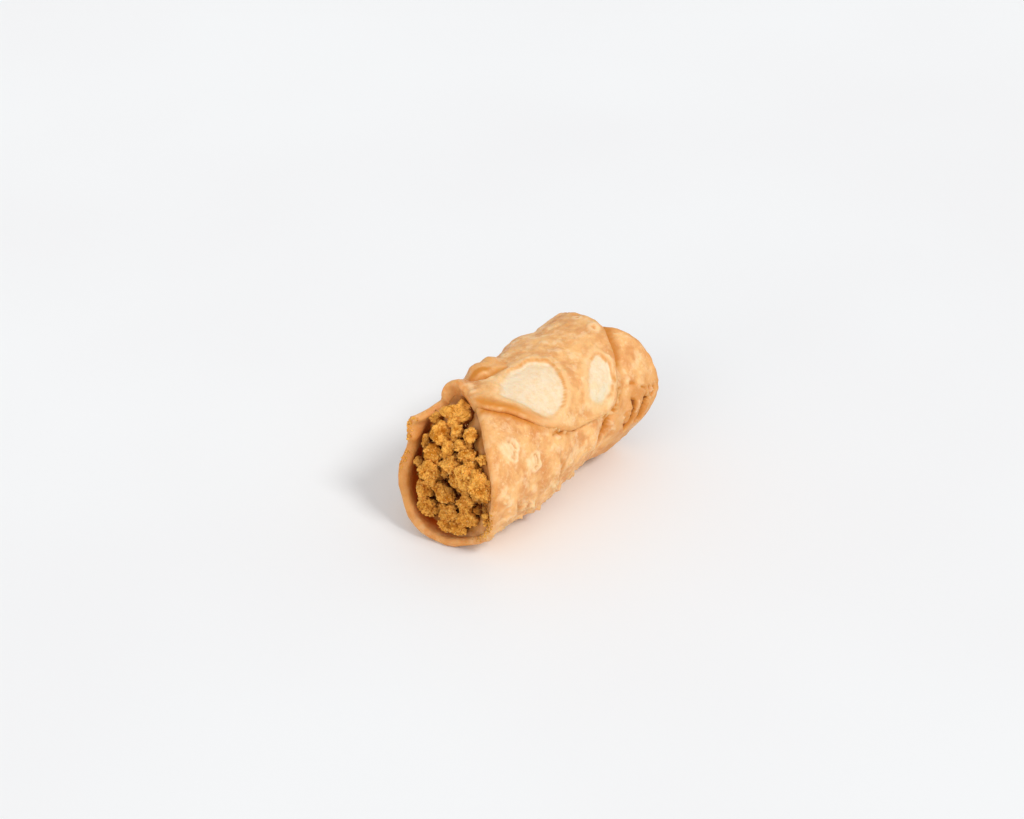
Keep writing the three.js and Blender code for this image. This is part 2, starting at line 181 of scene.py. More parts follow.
def on_tube(x: Array, wrap: Array, radius: Array) -> Array:
    """Places points round the tube, never under the surface that it lies on.

    Args:
        x: Place along the tube.
        wrap: Angle round it in degrees.
        radius: Distance from its axis.

    Returns:
        The points in the part's frame in mm, one row each.
    """
    turn = np.radians(wrap)
    height = np.maximum(AXIS_HEIGHT + radius * np.cos(turn), 0.0)
    return np.stack([x + 0 * turn, -radius * np.sin(turn), height], axis=-1) - ORIGIN


# ---- Marks on the dough


class Mark:
    """Something that stands out of the dough or sinks into it."""

    def height(self, x: Array, wrap: Array) -> Array:
        """Tells how much the mark raises the dough.

        Args:
            x: Where places on the dough are along the tube.
            wrap: Where they are round it.

        Returns:
            The height at each place in mm, negative where the dough is sunk.
        """
        raise NotImplementedError


def raised_by(marks: Sequence[Mark], x: Array, wrap: Array) -> Array:
    """How much marks raise the dough together at each place."""
    return sum(mark.height(x, wrap) for mark in marks)


@dataclass(frozen=True)
class Blister(Mark):
    """A raised blister: its middle, half length along x, half width round the tube and turn."""

    x: float
    wrap: float
    long: float
    wide: float
    turn: float
    high: float

    def height(self, x: Array, wrap: Array) -> Array:
        """Tells how much it raises the dough.

        Args:
            x: Where places on the dough are along the tube.
            wrap: Where they are round it.

        Returns:
            The height at each place in mm.
        """
        turn = math.radians(self.turn)
        along, across = x - self.x, (wrap - self.wrap) * MM_PER_DEGREE
        u = along * math.cos(turn) + across * math.sin(turn)
        v = across * math.cos(turn) - along * math.sin(turn)
        return self.high * ramp(np.hypot(u / self.long, v / self.wide), 1.0, 0.15)


@dataclass(frozen=True)
class Spot(Mark):
    """A round mark: its middle, its radius and its depth."""

    x: float
    wrap: float
    radius: float
    depth: float

    def polar(self, x: Array, wrap: Array) -> tuple[Array, Array]:
        """Distance of each place from the middle, as a share of the radius, and its direction."""
        along, across = x - self.x, (wrap - self.wrap) * MM_PER_DEGREE
        return np.hypot(along, across) / self.radius, np.arctan2(across, along)


class Pock(Spot):
    """A pin blister: a low pale ring round a small pit."""

    def ring(self, x: Array, wrap: Array) -> Array:
        """How close each place lies to the top of the ring, as a share."""
        return band(self.polar(x, wrap)[0], 0.15, 0.45, 0.55, 1.0)

    def pit(self, x: Array, wrap: Array) -> Array:
        """How deep in the pit each place lies, as a share."""
        return ramp(self.polar(x, wrap)[0], 0.4, 0.05)

    def height(self, x: Array, wrap: Array) -> Array:
        """How much it raises the dough at each place."""
        return self.depth * (0.5 * self.ring(x, wrap) - self.pit(x, wrap))


class Crater(Spot):
    """A blister that burst: a small uneven hollow, deeper at its rear, with a low torn edge."""

    def polar(self, x: Array, wrap: Array) -> tuple[Array, Array]:
        """Finds places by their way out to the uneven edge.

        Args:
            x: Where places on the dough are along the tube.
            wrap: Where they are round it.

        Returns:
            The distance of each place from the middle, as a share of the way out, and its direction.
        """
        share, turn = super().polar(x, wrap)
        uneven = 1.0 + 0.12 * np.sin(3 * turn + self.x) + 0.08 * np.sin(5 * turn - self.wrap)
        return share / uneven, turn

    def rear(self, turn: Array) -> Array:
        """How far a direction points away from the front, as a share."""
        return ramp(np.cos(turn - 0.3), -0.45, 0.3)

    def disc(self, x: Array, wrap: Array) -> Array:
        """How far each place lies within it, as a share."""
        return ramp(self.polar(x, wrap)[0], 1.12, 0.72)

    def crescent(self, x: Array, wrap: Array) -> Array:
        """How close each place lies to its deepest line, as a share."""
        share, turn = self.polar(x, wrap)
        return self.rear(turn) * band(share, 0.4, 0.62, 0.64, 0.82)

    def flake(self, x: Array, wrap: Array) -> Array:
        """How close each place lies to the thin torn edge beyond its deepest line, as a share."""
        share, turn = self.polar(x, wrap)
        return self.rear(turn) * band(share, 0.7, 0.82, 0.92, 1.1)

    def height(self, x: Array, wrap: Array) -> Array:
        """Tells how much it raises the dough.

        Args:
            x: Where places on the dough are along the tube.
            wrap: Where they are round it.

        Returns:
            The height at each place in mm.
        """
        share, turn = self.polar(x, wrap)
        bowl = 0.3 * self.rear(turn) * ramp(share, 0.8, 0.4)
        swell = 0.25 * self.disc(x, wrap) + 0.25 * self.flake(x, wrap)
        return self.depth * (swell - bowl - 0.46 * self.crescent(x, wrap))


def distance_to_line(x: Array, wrap: Array, start: Sequence[float], end: Sequence[float]) -> Array:
    """Distance on the dough from places to a line.

    Args:
        x: Where the places are along the tube.
        wrap: Where they are round it.
        start: One end of the line, as x and wrap.
        end: Its other end.

    Returns:
        The distance from each place in mm.
    """
    ax, ay = end[0] - start[0], (end[1] - start[1]) * MM_PER_DEGREE
    px, py = x - start[0], (wrap - start[1]) * MM_PER_DEGREE
    share = np.clip((px * ax + py * ay) / (ax * ax + ay * ay), 0.0, 1.0)
    return np.hypot(px - share * ax, py - share * ay)


@dataclass(frozen=True)
class Crease(Mark):
    """A crease between two places, or a torn edge that stands out, with a negative depth."""

    start: tuple[float, float]
    end: tuple[float, float]
    half: float
    depth: float

    def height(self, x: Array, wrap: Array) -> Array:
        """How much it raises the dough at each place."""
        distance = distance_to_line(x, wrap, self.start, self.end)
        return -self.depth * ramp(distance, 1.6 * self.half, 0.0)


@dataclass(frozen=True)
class Gash(Mark):
    """A torn fold between two places: a gentle bank on one side and a steep lip on the other.

    The steep lip is on the right of the way from start to end, with wrap upwards.
    """

    start: tuple[float, float]
    end: tuple[float, float]
    wide: float
    depth: float

    def height(self, x: Array, wrap: Array) -> Array:
        """Tells how much it raises the dough.

        Args:
            x: Where places on the dough are along the tube.
            wrap: Where they are round it.

        Returns:
            The height at each place in mm, negative in the fold.
        """
        ax, ay = self.end[0] - self.start[0], (self.end[1] - self.start[1]) * MM_PER_DEGREE
        px, py = x - self.start[0], (wrap - self.start[1]) * MM_PER_DEGREE
        length = math.hypot(ax, ay)
        right = (px * ay - py * ax) / length
        taper = band((px * ax + py * ay) / length**2, -0.15, 0.25, 0.75, 1.15)
        bank = band(right, -self.wide, 0.0, 0.1, 0.8)
        return self.depth * taper * (0.26 * band(right, 0.4, 1.0, 1.2, 3.2) - bank)


@dataclass(frozen=True)
class Patch:
    """A pale sunken patch where a large blister lifted off: its outline as x and wrap."""

    outline: Stations
    depth: float

    def distance(self, x: Array, wrap: Array) -> Array:
        """Distance on the dough from places to the outline.

        Args:
            x: Where the places are along the tube.
            wrap: Where they are round it.

        Returns:
            The distance from each place in mm, negative inside the outline.
        """
        nearest = np.full_like(x, np.inf)
        inside = np.zeros(x.shape, bool)
        for start, end in zip(self.outline, self.outline[1:] + self.outline[:1]):
            nearest = np.minimum(nearest, distance_to_line(x, wrap, start, end))
            slope = (end[0] - start[0]) / (end[1] - start[1] or 1e-9)
            left = x < start[0] + slope * (wrap - start[1])
            inside ^= ((start[1] > wrap) != (end[1] > wrap)) & left
        return np.where(inside, -nearest, nearest)

    def rear(self, x: Array) -> Array:
        """How far each place lies on its rear side, as a share."""
        middle = sum(place[0] for place in self.outline) / len(self.outline)
        return ramp(x - middle, -4.0, 5.0)

    def pale(self, out: Array, x: Array) -> Array:
        """How pale each place is, with a soft border in front and a sharp one behind."""
        return ramp((out - 0.5) / (2.3 - 1.6 * self.rear(x)), 1.0, -1.0)

    def torn_edge(self, out: Array, x: Array) -> Array:
        """The step along its rear side, fried a darker brown, as a share."""
        return self.rear(x) * band(out, 0.1, 0.8, 0.9, 1.9)

    def height(self, out: Array, x: Array) -> Array:
        """How much it raises the dough, by the distance to its outline.

        Args:
            out: Distance of places from the outline, negative inside it.
            x: Where they are along the tube.

        Returns:
            The height at each place in mm.
        """
        rim = (0.1 + 0.3 * self.rear(x)) * band(out, 0.0, 1.4, 1.4, 4.4)
        step = ramp((out - 0.5) / (2.2 - 1.2 * self.rear(x)), -1.0, 0.7)
        return self.depth * (rim - 1.0 + step)


@dataclass(frozen=True)
class Flare:
    """A stretch of the front edge that is turned outwards."""

    wrap: float
    span: float
    reach: float
    out: float

    def height(self, from_edge: Array, wrap: Array) -> Array:
        """How far it turns the dough out, by the distance from the front edge."""
        round_it = ramp(np.abs(wrap - self.wrap), self.span, 0.2 * self.span)
        return self.out * round_it * ramp(from_edge, self.reach, 0.0)


# ---- The form that dough, cream and crumbs share


@dataclass(frozen=True)
class TubeForm:
    """The rolled tube's smooth form: its edges, its radius and where it climbs on itself."""

    wrap_start: float = -12.0
    wrap_tip: float = 437.0
    front: Curve = Curve((
        (-12, -20), (0, -23.8), (20, -30.4), (44, -36.6), (66, -40.4), (90, -42), (115, -41),
        (150, -39.4), (180, -41.8), (213, -42.4), (244, -39.8), (270, -36.2), (284, -32.9),
        (294, -34.6), (303, -32.4), (308, -31.8), (311, -27.6), (315, -22), (321, -21.6),
        (328, -20.4), (336, -20.4), (348, -22), (360, -24.6), (372, -24), (387, -20), (400, -16),
        (414, -11), (424, -5.5), (430, -1), (434, 7.5), (437, 14.5),
    ))
    back: Curve = Curve((
        (-12, 35), (11, 38.6), (34, 42.8), (60, 45), (82, 45.6), (95, 45.2), (106, 42.6),
        (125, 37.6), (160, 36.5), (200, 38.5), (240, 39.6), (280, 39.4), (316, 38.6), (340, 37.6),
        (360, 37.2), (373, 35.8), (390, 31.8), (405, 28.8), (418, 25.5), (430, 23), (437, 19.5),
    ))
    waist_depth: float = 2.0
    flares: tuple[Flare, ...] = (Flare(331.5, 17.4, 7.4, 3.1), Flare(303.5, 8.4, 6, 2.2))

    def radius(self, x: Array, wrap: Array) -> Array:
        """Tells the radius of the first layer's smooth outside.

        Args:
            x: Where places on the dough are along the tube.
            wrap: Where they are round it.

        Returns:
            The radius at each place, with the waist and a slight swell.
        """
        turn = np.radians(wrap)
        swell = 0.25 * np.sin(0.3 * x + 3 * turn) + 0.2 * np.sin(5 * turn - 0.2 * x)
        low_side = np.maximum(0.0, np.cos(np.radians(wrap - 128))) ** 1.5
        waist = self.waist_depth * np.exp(-(((x - 10) / 12.5) ** 2))
        tuck = 1.6 * ramp(x, -10, -40) + 0.5 * ramp(x, 20, 40)
        off_bottom = ramp(np.abs(wrap - 180), 12, 40)
        return TUBE_RADIUS - (waist + tuck) * low_side + swell * off_bottom

    def lift(self, wrap: Array) -> Array:
        """How far the dough is lifted by its own beginning under it."""
        return 2.2 * ramp(wrap, 292, 336) - 1.4 * ramp(wrap, 396, 424)

    def flare(self, x: Array, wrap: Array) -> Array:
        """How far the front edge is turned out."""
        return sum(flare.height(x - self.front(wrap), wrap) for flare in self.flares)

    def hollow(self, x: Array, angle: Array) -> Array:
        """Radius of the hollow inside the dough, at an angle from 0 to 360."""
        lifted = self.lift(angle) * ramp(angle, 342, 330)
        return self.radius(x, angle) + lifted + self.flare(x, angle) - DOUGH


# ---- Materials


def linear(color: str) -> tuple[float, float, float, float]:
    """Turns an sRGB colour, given as six hex digits, to linear with full opacity.

    Args:
        color: The six digits.

    Returns:
        Red, green, blue and opacity from 0 to 1.
    """
    parts = [int(color[i : i + 2], 16) / 255 for i in (0, 2, 4)]
    red, green, blue = (c / 12.92 if c <= 0.04045 else ((c + 0.055) / 1.055) ** 2.4 for c in parts)
    return red, green, blue, 1.0


Socket = bpy.types.NodeSocket
Sockets = dict[str | int, Socket | str | float | tuple[float, ...]]


def add_node(
    tree: bpy.types.NodeTree, kind: str, sockets: Sockets | None = None, **settings: object
) -> bpy.types.Node:
    """Adds a node with its settings, values and links.

    Args:
        tree: The node tree that it goes in.
        kind: Its type, such as ShaderNodeTexNoise.
        sockets: What goes in its sockets, by name or number: another node's output, a value, or an
            sRGB colour as hex digits.
        **settings: Its own properties, such as operation.

    Returns:
        The new node.
    """
    made = tree.nodes.new(kind)
    for name, value in settings.items():
        setattr(made, name, value)
    for name, value in (sockets or {}).items():
        if isinstance(value, Socket):
            tree.links.new(value, made.inputs[name])
        else:
            made.inputs[name].default_value = linear(value) if isinstance(value, str) else value
    return made


class Texture(Enum):
    """The textures that the finishes are painted with."""

    CLOUDS = "ShaderNodeTexNoise"
    CELLS = "ShaderNodeTexVoronoi"


@dataclass(frozen=True)
class Brush:
    """Paints one material, with patterns on Object coordinates that are given by their size in mm."""

    material: bpy.types.Material
    place: Socket

    @classmethod
    def start(cls, name: str) -> Brush:
        """Makes a material with that name, still empty, and its brush.

        Args:
            name: The material's name.

        Returns:
            The brush.
        """
        material = bpy.data.materials.new(name)
        material.use_nodes = True
        material.node_tree.nodes.clear()
        place = add_node(material.node_tree, "ShaderNodeTexCoord").outputs["Object"]
        return cls(material, place)

    def add(self, kind: str, sockets: Sockets, **settings: object) -> bpy.types.Node:
        """Adds a node to the material, as add_node does."""
        return add_node(self.material.node_tree, kind, sockets, **settings)

    def stretched(self, value: Socket, span: Sequence[float], to: Sequence[float] = (0, 1)) -> Socket:
        """Stretches a value's span from first to last over another one, smoothly and clamped.

        Args:
            value: The value.
            span: Its first and last value.
            to: What they become.

        Returns:
            The stretched value.
        """
        ends = {"From Min": span[0], "From Max": span[1], "To Min": to[0], "To Max": to[1]}
        sockets = {"Value": value, **ends}
        return self.add("ShaderNodeMapRange", sockets, interpolation_type="SMOOTHSTEP").outputs[0]

    def mark(self, name: str, span: Sequence[float] | None = None) -> Socket:
        """A named share that the mesh gives at each point, or where it climbs through a span."""
        share = self.add("ShaderNodeAttribute", {}, attribute_name=name).outputs["Fac"]
        return self.stretched(share, span) if span else share

    def pattern(
        self,
        size: float,
        span: Sequence[float],
        to: Sequence[float] = (0, 1),
        texture: Texture = Texture.CLOUDS,
        **values: float,
    ) -> Socket:
        """Draws a texture with more or less contrast.

        Args:
            size: Width of its lumps or cells in mm.
            span: The texture's values at which the pattern starts and is full.
            to: The pattern's values there.
            texture: The texture.
            **values: The texture's other sockets, such as Detail.

        Returns:
            The pattern's value.
        """
        sockets = {"Vector": self.place, "Scale": 1.0 / (size * MM), **values}
        return self.stretched(self.add(texture.value, sockets).outputs[0], span, to)

    def layers(self, color: Socket | str, *over: tuple[Socket, Socket | str]) -> Socket:
        """Lays colours over a first one.

        Args:
            color: The first colour, from a socket or as sRGB hex digits.
            *over: The share and the colour of each further layer, the lowest first.

        Returns:
            The colour that they give together.
        """
        for share, top in over:
            sockets = {0: share, 6: color, 7: top}
            color = self.add("ShaderNodeMix", sockets, data_type="RGBA").outputs[2]
        return color

    def bumps(self, *grains: tuple[float, float, float, float]) -> Socket:
        """Lays bumps over one another.

        Args:
            *grains: The size and depth in mm, the detail and the roughness of each, coarsest first.

        Returns:
            The normal that they give together.
        """
        under: Sockets = {}
        for size, depth, detail, rough in grains:
            values = {"Scale": 1.0 / (size * MM), "Detail": detail, "Roughness": rough}
            height = self.add(Texture.CLOUDS.value, {"Vector": self.place, **values}).outputs[0]
            sockets = {"Height": height, "Strength": 1.0, "Distance": depth * MM, **under}
            under = {"Normal": self.add("ShaderNodeBump", sockets).outputs["Normal"]}
        return under["Normal"]

    def finish(self, sockets: Sockets) -> bpy.types.Material:
        """Gives the material a surface with these colours and values, and returns it.

        Args:
            sockets: What goes in the surface's sockets, by name.

        Returns:
            The finished material.
        """
        surface = self.add("ShaderNodeBsdfPrincipled", sockets)
        self.add("ShaderNodeOutputMaterial", {"Surface": surface.outputs["BSDF"]})
        return self.material


@dataclass(frozen=True)
class FriedWheatDough:
    """Wheat dough fried in oil: a tan, finely blistered crust with a faint waxy sheen.

    Thin rims let light through and shine orange; the orange painted along them stands in for that
    light and for the shade under their edges. Where a blister lifted off, the pale soft dough shows.
    """

    tan: str = "db9554"
    golden: str = "f2bb79"
    fleck: str = "fbd7a6"
    orange: str = "d2862e"
    # deep brown: painted shade in creases, gashes, craters, pits and the open seam; patch edges and
    # the thick rim fried darker
    browned: str = "8c440a"
    pale: str = "f1dbba"
    pale_shade: str = "ecc58e"
    # reddish brown painted on the inner wall in place of the shade in the hollow
    inside: str = "cc5608"
    roughness: float = 0.42

    def build(self) -> bpy.types.Material:
        """Makes the material.

        Returns:
            The material for the dough.
        """
        brush = Brush.start("fried_wheat_dough")
        clouds = brush.pattern(5.5, (0.36, 0.64), Detail=4.0, Roughness=0.56)
        spots = brush.pattern(3.4, (0.5, 0.68), (0, 0.48), Detail=3.0, Roughness=0.55)
        mottle = brush.pattern(1.1, (0.52, 0.68), (0, 0.45), Detail=4.0, Roughness=0.65)
        patchy = brush.pattern(7.0, (0.36, 0.56))
        flecks = brush.add("ShaderNodeMath", {0: mottle, 1: patchy}, operation="MULTIPLY")
        specks = brush.pattern(2.6, (0.4, 0.26), (0, 0.4), Detail=3.0, Roughness=0.6)
        crumbly = brush.pattern(2.2, (0.35, 0.75), (0, 0.65), Detail=4.0, Roughness=0.65)
        inner = brush.mark("pale", (0.35, 0.95))
        pale = brush.layers(self.pale_shade, (inner, self.pale), (crumbly, self.pale_shade))
        color = brush.layers(
            self.tan,
            (clouds, self.golden),
            (brush.mark("raised"), self.golden),
            (spots, self.fleck),
            (flecks.outputs[0], self.fleck),
            (specks, self.orange),
            (brush.mark("pale", (0.0, 0.85)), pale),
            # painted glow on the rims, painted shade in creases, burst blisters and beside the flap
            (brush.mark("orange"), self.orange),
            (brush.mark("fleck"), self.fleck),
            # mostly painted shade: deep brown in creases, gashes, craters, pits and the open seam
            (brush.mark("browned", (0.0, 0.5)), self.orange),
            (brush.mark("browned", (0.4, 1.0)), self.browned),
            # painted shade on the inner wall
            (brush.mark("inside"), self.inside),
        )
        roughness = brush.pattern(3.0, (0.3, 0.7), (self.roughness, self.roughness + 0.16))
        return brush.finish({
            "Base Color": color,
            "Roughness": roughness,
            "Normal": brush.bumps((1.6, 0.3, 4.0, 0.65), (0.45, 0.06, 3.0, 0.6)),
            "IOR": 1.46,
            "Specular IOR Level": 0.36,
            "Subsurface Weight": 0.22,
            "Subsurface Radius": (1.0, 0.45, 0.2),
            "Subsurface Scale": 1.6 * MM,
        })


@dataclass(frozen=True)
class CaramelCream:
    """Milk caramel whipped with cream: smooth, tan and softly glossy."""

    light: str = "c88d4e"
    dark: str = "a96c30"

    def build(self) -> bpy.types.Material:
        """Makes the material.

        Returns:
            The material for the filling.
        """
        brush = Brush.start("caramel_cream")
        swirl = brush.pattern(5.0, (0.35, 0.65))
        return brush.finish({
            "Base Color": brush.layers(self.dark, (swirl, self.light)),
            "Normal": brush.bumps((2.2, 0.18, 2.0, 0.5)),
            "Roughness": 0.3,
            "Specular IOR Level": 0.38,
            "IOR": 1.45,
            "Subsurface Weight": 0.3,
            "Subsurface Radius": (1.0, 0.5, 0.25),
            "Subsurface Scale": 2.0 * MM,
        })


@dataclass(frozen=True)
class BiscuitCrumb:
    """Crushed caramel biscuit: dry, matt and grainy, with lighter sugar grains."""

    golden: str = "fdbb58"
    brown: str = "c07416"
    shade: str = "9e570e"
    # painted shade for crumbs lying deep in the heap
    deep: str = "6e3006"
    sugar: str = "f8d292"

    def build(self) -> bpy.types.Material:
        """Makes the material.

        Returns:
            The material for the crumbs.
        """
        brush = Brush.start("biscuit_crumb")
        clouds = brush.pattern(3.2, (0.35, 0.65), Detail=3.0, Roughness=0.6)
        pores = brush.pattern(0.6, (0.5, 0.36), (0, 0.6), Detail=3.0, Roughness=0.7)
        sugar = brush.pattern(1.1, (0.22, 0.08), (0, 0.7), Texture.CELLS)
        color = brush.layers(
            self.brown,
            (clouds, self.golden),
            (brush.mark("tint"), self.golden),
            (pores, self.shade),
            # painted shade in the cracks between grains
            (brush.mark("crack"), self.brown),
            # painted shade: crumbs behind the heap's surface are darker
            (brush.mark("sunk"), self.deep),
            (sugar, self.sugar),
        )
        return brush.finish({
            "Base Color": color,
            "Normal": brush.bumps((0.6, 0.3, 4.0, 0.7)),
            "Roughness": 0.85,
            "Specular IOR Level": 0.12,
            "Subsurface Weight": 0.1,
            "Subsurface Radius": (1.0, 0.5, 0.2),
            "Subsurface Scale": 0.8 * MM,
        })


@dataclass(frozen=True)
class PaleFloor:
    """A smooth pale table top with a faint sheen."""

    light: str = "f3f5f6"
    shade: str = "f1f2f3"

    def build(self) -> bpy.types.Material:
        """Makes the material.

        Returns:
            The material for the floor.
        """
        brush = Brush.start("pale_floor")
        color = brush.layers(self.light, (brush.pattern(180.0, (0.3, 0.7)), self.shade))
        return brush.finish({"Base Color": color, "Roughness": 0.5, "Specular IOR Level": 0.2})


# ---- Finished pieces


def new_mesh(name: str, form: bmesh.types.BMesh, material: bpy.types.Material) -> bpy.types.Mesh:
    """Turns a form into a mesh with that material.

    Args:
        name: The mesh's name.
        form: The form. It is freed.
        material: Its finish.

    Returns:
        The mesh.
    """
    mesh = bpy.data.meshes.new(name)
    form.to_mesh(mesh)
    form.free()
    mesh.materials.append(material)
    return mesh


def add_object(name: str, data: bpy.types.ID) -> bpy.types.Object:
    """Puts a mesh, a camera or a light in the scene as an object of that name.

    Args:
        name: The object's name.
        data: The mesh, camera or light.

    Returns:
        The object.
    """
    added = bpy.data.objects.new(name, data)
    bpy.context.scene.collection.objects.link(added)
    return added


def finish_piece(
    name: str,
    form: bmesh.types.BMesh,
    points: Array,
    attributes: dict[str, Array],
    material: bpy.types.Material,
    nodes: Sequence[str],
) -> None:
    """Puts a mesh in its place as a finished piece of the object.

    Args:
        name: The piece's name.
        form: Its mesh, whose vertices are still elsewhere. It is freed.
        points: Where its vertices go, in mm.
        attributes: Values for its material, one for each vertex, by name.
        material: Its finish.
        nodes: The solids that it stands for.
    """
    mesh = new_mesh(name, form, material)
    mesh.vertices.foreach_set("co", (points * MM).astype(np.float32).ravel())
    for label, values in attributes.items():
        layer = mesh.attributes.new(label, "FLOAT", "POINT")
        layer.data.foreach_set("value", np.clip(values, 0.0, 1.0).astype(np.float32))
    mesh.polygons.foreach_set("use_smooth", [True] * len(mesh.polygons))
    mesh.update()
    piece = add_object(name, mesh)
    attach(piece, "root")
    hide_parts(*nodes)
    log.info("%s: %d faces", name, len(mesh.polygons))


def flat_points(form: bmesh.types.BMesh) -> Array:
    """Where the vertices of a mesh are, one row each."""
    return np.array([vert.co for vert in form.verts], float).reshape(-1, 3)


@dataclass(frozen=True)
class Places:
    """Where the points of the sheet of dough lie once it is rolled up, one value for each."""

    x: Array
    wrap: Array
    side: Array  # 1 on the outside, -1 on the inside and 0 on the rim
    near: Array  # distance from the nearer end of the tube, in widths of the rim's rounding
    full: Array  # share of the dough's full thickness
    from_edge: Array  # distance from the front edge


@dataclass
class DoughSheet:
    """The sheet of dough, cut to its outline and rounded at its rim."""

    form: TubeForm
    columns: int = 164  # cells along the tube
    rows: int = 292  # cells round it
    cell_size: Curve = Curve(
        ((-12, 1.6), (20, 1.4), (35, 1), (132, 1), (148, 1.9), (285, 1.9), (300, 0.8), (437, 0.9))
    )  # of the cells round it, at each wrap, against each other
    rim_cells: int = 5  # cells over the rounding of a rim
    steepest: float = 3.0  # how many times wider the rounding gets where the edge runs aslant

    def rim_steps(self, count: int, length: Array, edge: Array) -> Array:
        """Distances of grid lines from one edge, close together where the rim is rounded.

        Args:
            count: Number of cells.
            length: Distance between the two edges, one for each row.
            edge: Width of the rounding at each edge, one for each row.

        Returns:
            One row of distances for each length.
        """
        turns = np.arange(self.rim_cells + 1) / self.rim_cells * (math.pi / 2)
        near = edge[:, None] * (1.0 - np.cos(turns))[None, :]
        share = np.linspace(0, 1, count - 2 * self.rim_cells + 1)[None, 1:-1]
        middle = edge[:, None] + (length - 2 * edge)[:, None] * share
        far = length[:, None] - near[:, ::-1]
        return np.concatenate([near, middle, far], axis=1)

    def row_wraps(self, edge_wrap: float) -> Array:
        """Wraps of the grid's rows, with smaller cells where the dough has more relief.

        Args:
            edge_wrap: Width in degrees of the rounding at both ends.

        Returns:
            The wrap of each row, from the dough's start to its tip.
        """
        start, tip = self.form.wrap_start, self.form.wrap_tip
        even = self.rim_steps(self.rows, np.array([tip - start]), np.array([edge_wrap]))[0]
        fine = np.linspace(edge_wrap, tip - start - edge_wrap, 800)
        count = np.cumsum(1.0 / self.cell_size(fine + start))
        share = (count - count[0]) / (count[-1] - count[0])
        inner = (even - even[self.rim_cells]) / (even[-1 - self.rim_cells] - even[self.rim_cells])
        placed = np.interp(inner, share, fine)
        rounded = (inner < 0.0) | (inner > 1.0)
        return start + np.where(rounded, even, placed)

    def cut(self) -> bmesh.types.BMesh:
        """Cuts the dough flat: two skins of a grid, joined round the rim.

        Returns:
            A mesh whose x and y run from 0 to 1 and whose z is 1 outside, -1 inside, 0 at the rim.
        """
        flat = bmesh.new()
        bmesh.ops.create_grid(flat, x_segments=self.columns, y_segments=self.rows, size=0.5)
        bmesh.ops.translate(flat, vec=(0.5, 0.5, 0.0), verts=flat.verts[:])
        copy = bmesh.ops.duplicate(flat, geom=flat.verts[:] + flat.edges[:] + flat.faces[:])
        inner_faces = [g for g in copy["geom"] if isinstance(g, bmesh.types.BMFace)]
        bmesh.ops.reverse_faces(flat, faces=inner_faces)
        inner = {g for g in copy["geom"] if isinstance(g, bmesh.types.BMVert)}
        for vert in flat.verts:
            if not vert.is_boundary:
                vert.co.z = -1.0 if vert in inner else 1.0
        bmesh.ops.remove_doubles(flat, verts=flat.verts[:], dist=1e-5)
        return flat

    def places(self, sheet: Array) -> Places:
        """Works out where the points of the flat sheet go.

        Args:
            sheet: The points of the flat sheet, one row each.

        Returns:
            Their places on the tube.
        """
        edge = DOUGH / 2
        edge_wrap = edge / MM_PER_DEGREE
        wraps = self.row_wraps(edge_wrap)
        front, back = self.form.front(wraps), self.form.back(wraps)
        slopes = [np.abs(np.gradient(line, wraps * MM_PER_DEGREE)) for line in (front, back)]
        slant = np.minimum(np.hypot(1.0, np.maximum(*slopes)), self.steepest)
        length = back - front
        edges = np.minimum(edge * slant, 0.4 * length)
        column = np.rint(sheet[:, 0] * self.columns).astype(int)
        row = np.rint(sheet[:, 1] * self.rows).astype(int)
        wrap = wraps[row]
        from_edge = self.rim_steps(self.columns, length, edges)[row, column]
        near = np.minimum(from_edge, length[row] - from_edge) / edges[row]
        near_end = np.minimum(wrap - wraps[0], wraps[-1] - wrap) / edge_wrap
        full = np.sqrt(1.0 - (1.0 - np.minimum(near, 1.0)) ** 2)
        full *= np.sqrt(1.0 - (1.0 - np.minimum(near_end, 1.0)) ** 2)
        return Places(front[row] + from_edge, wrap, sheet[:, 2], near, full, from_edge)


@dataclass(frozen=True)
class Skin:
    """What shows on the dough at each of its points: heights in mm and shares from 0 to 1."""

    smooth: Array  # the points on the tube's smooth form, one row each
    outer: Array  # height of all the relief on the outside
    relief: Array  # height of the large blisters
    bubbles: Array  # share of the clusters of tiny bubbles
    crust: Array  # share of the rough crust low on the -Y side
    torn: Array  # height of torn edges
    cuts: Array  # height of creases and gashes
    pale: Array  # share of the pale patches
    ring: Array  # share of the light rings round them
    edged: Array  # share of their browned edges
    discs: Array  # share of the burst blisters, whose flake and deepest line follow
    flakes: Array
    burst: Array
    rings: Array  # share of the pin blisters' rings, and of their pits
    pits: Array
    seam: Array  # share of the seam round the flap's tip, and where it is joined or open
    joined: Array
    open: Array
    broken: Array  # fine noise that breaks edges up


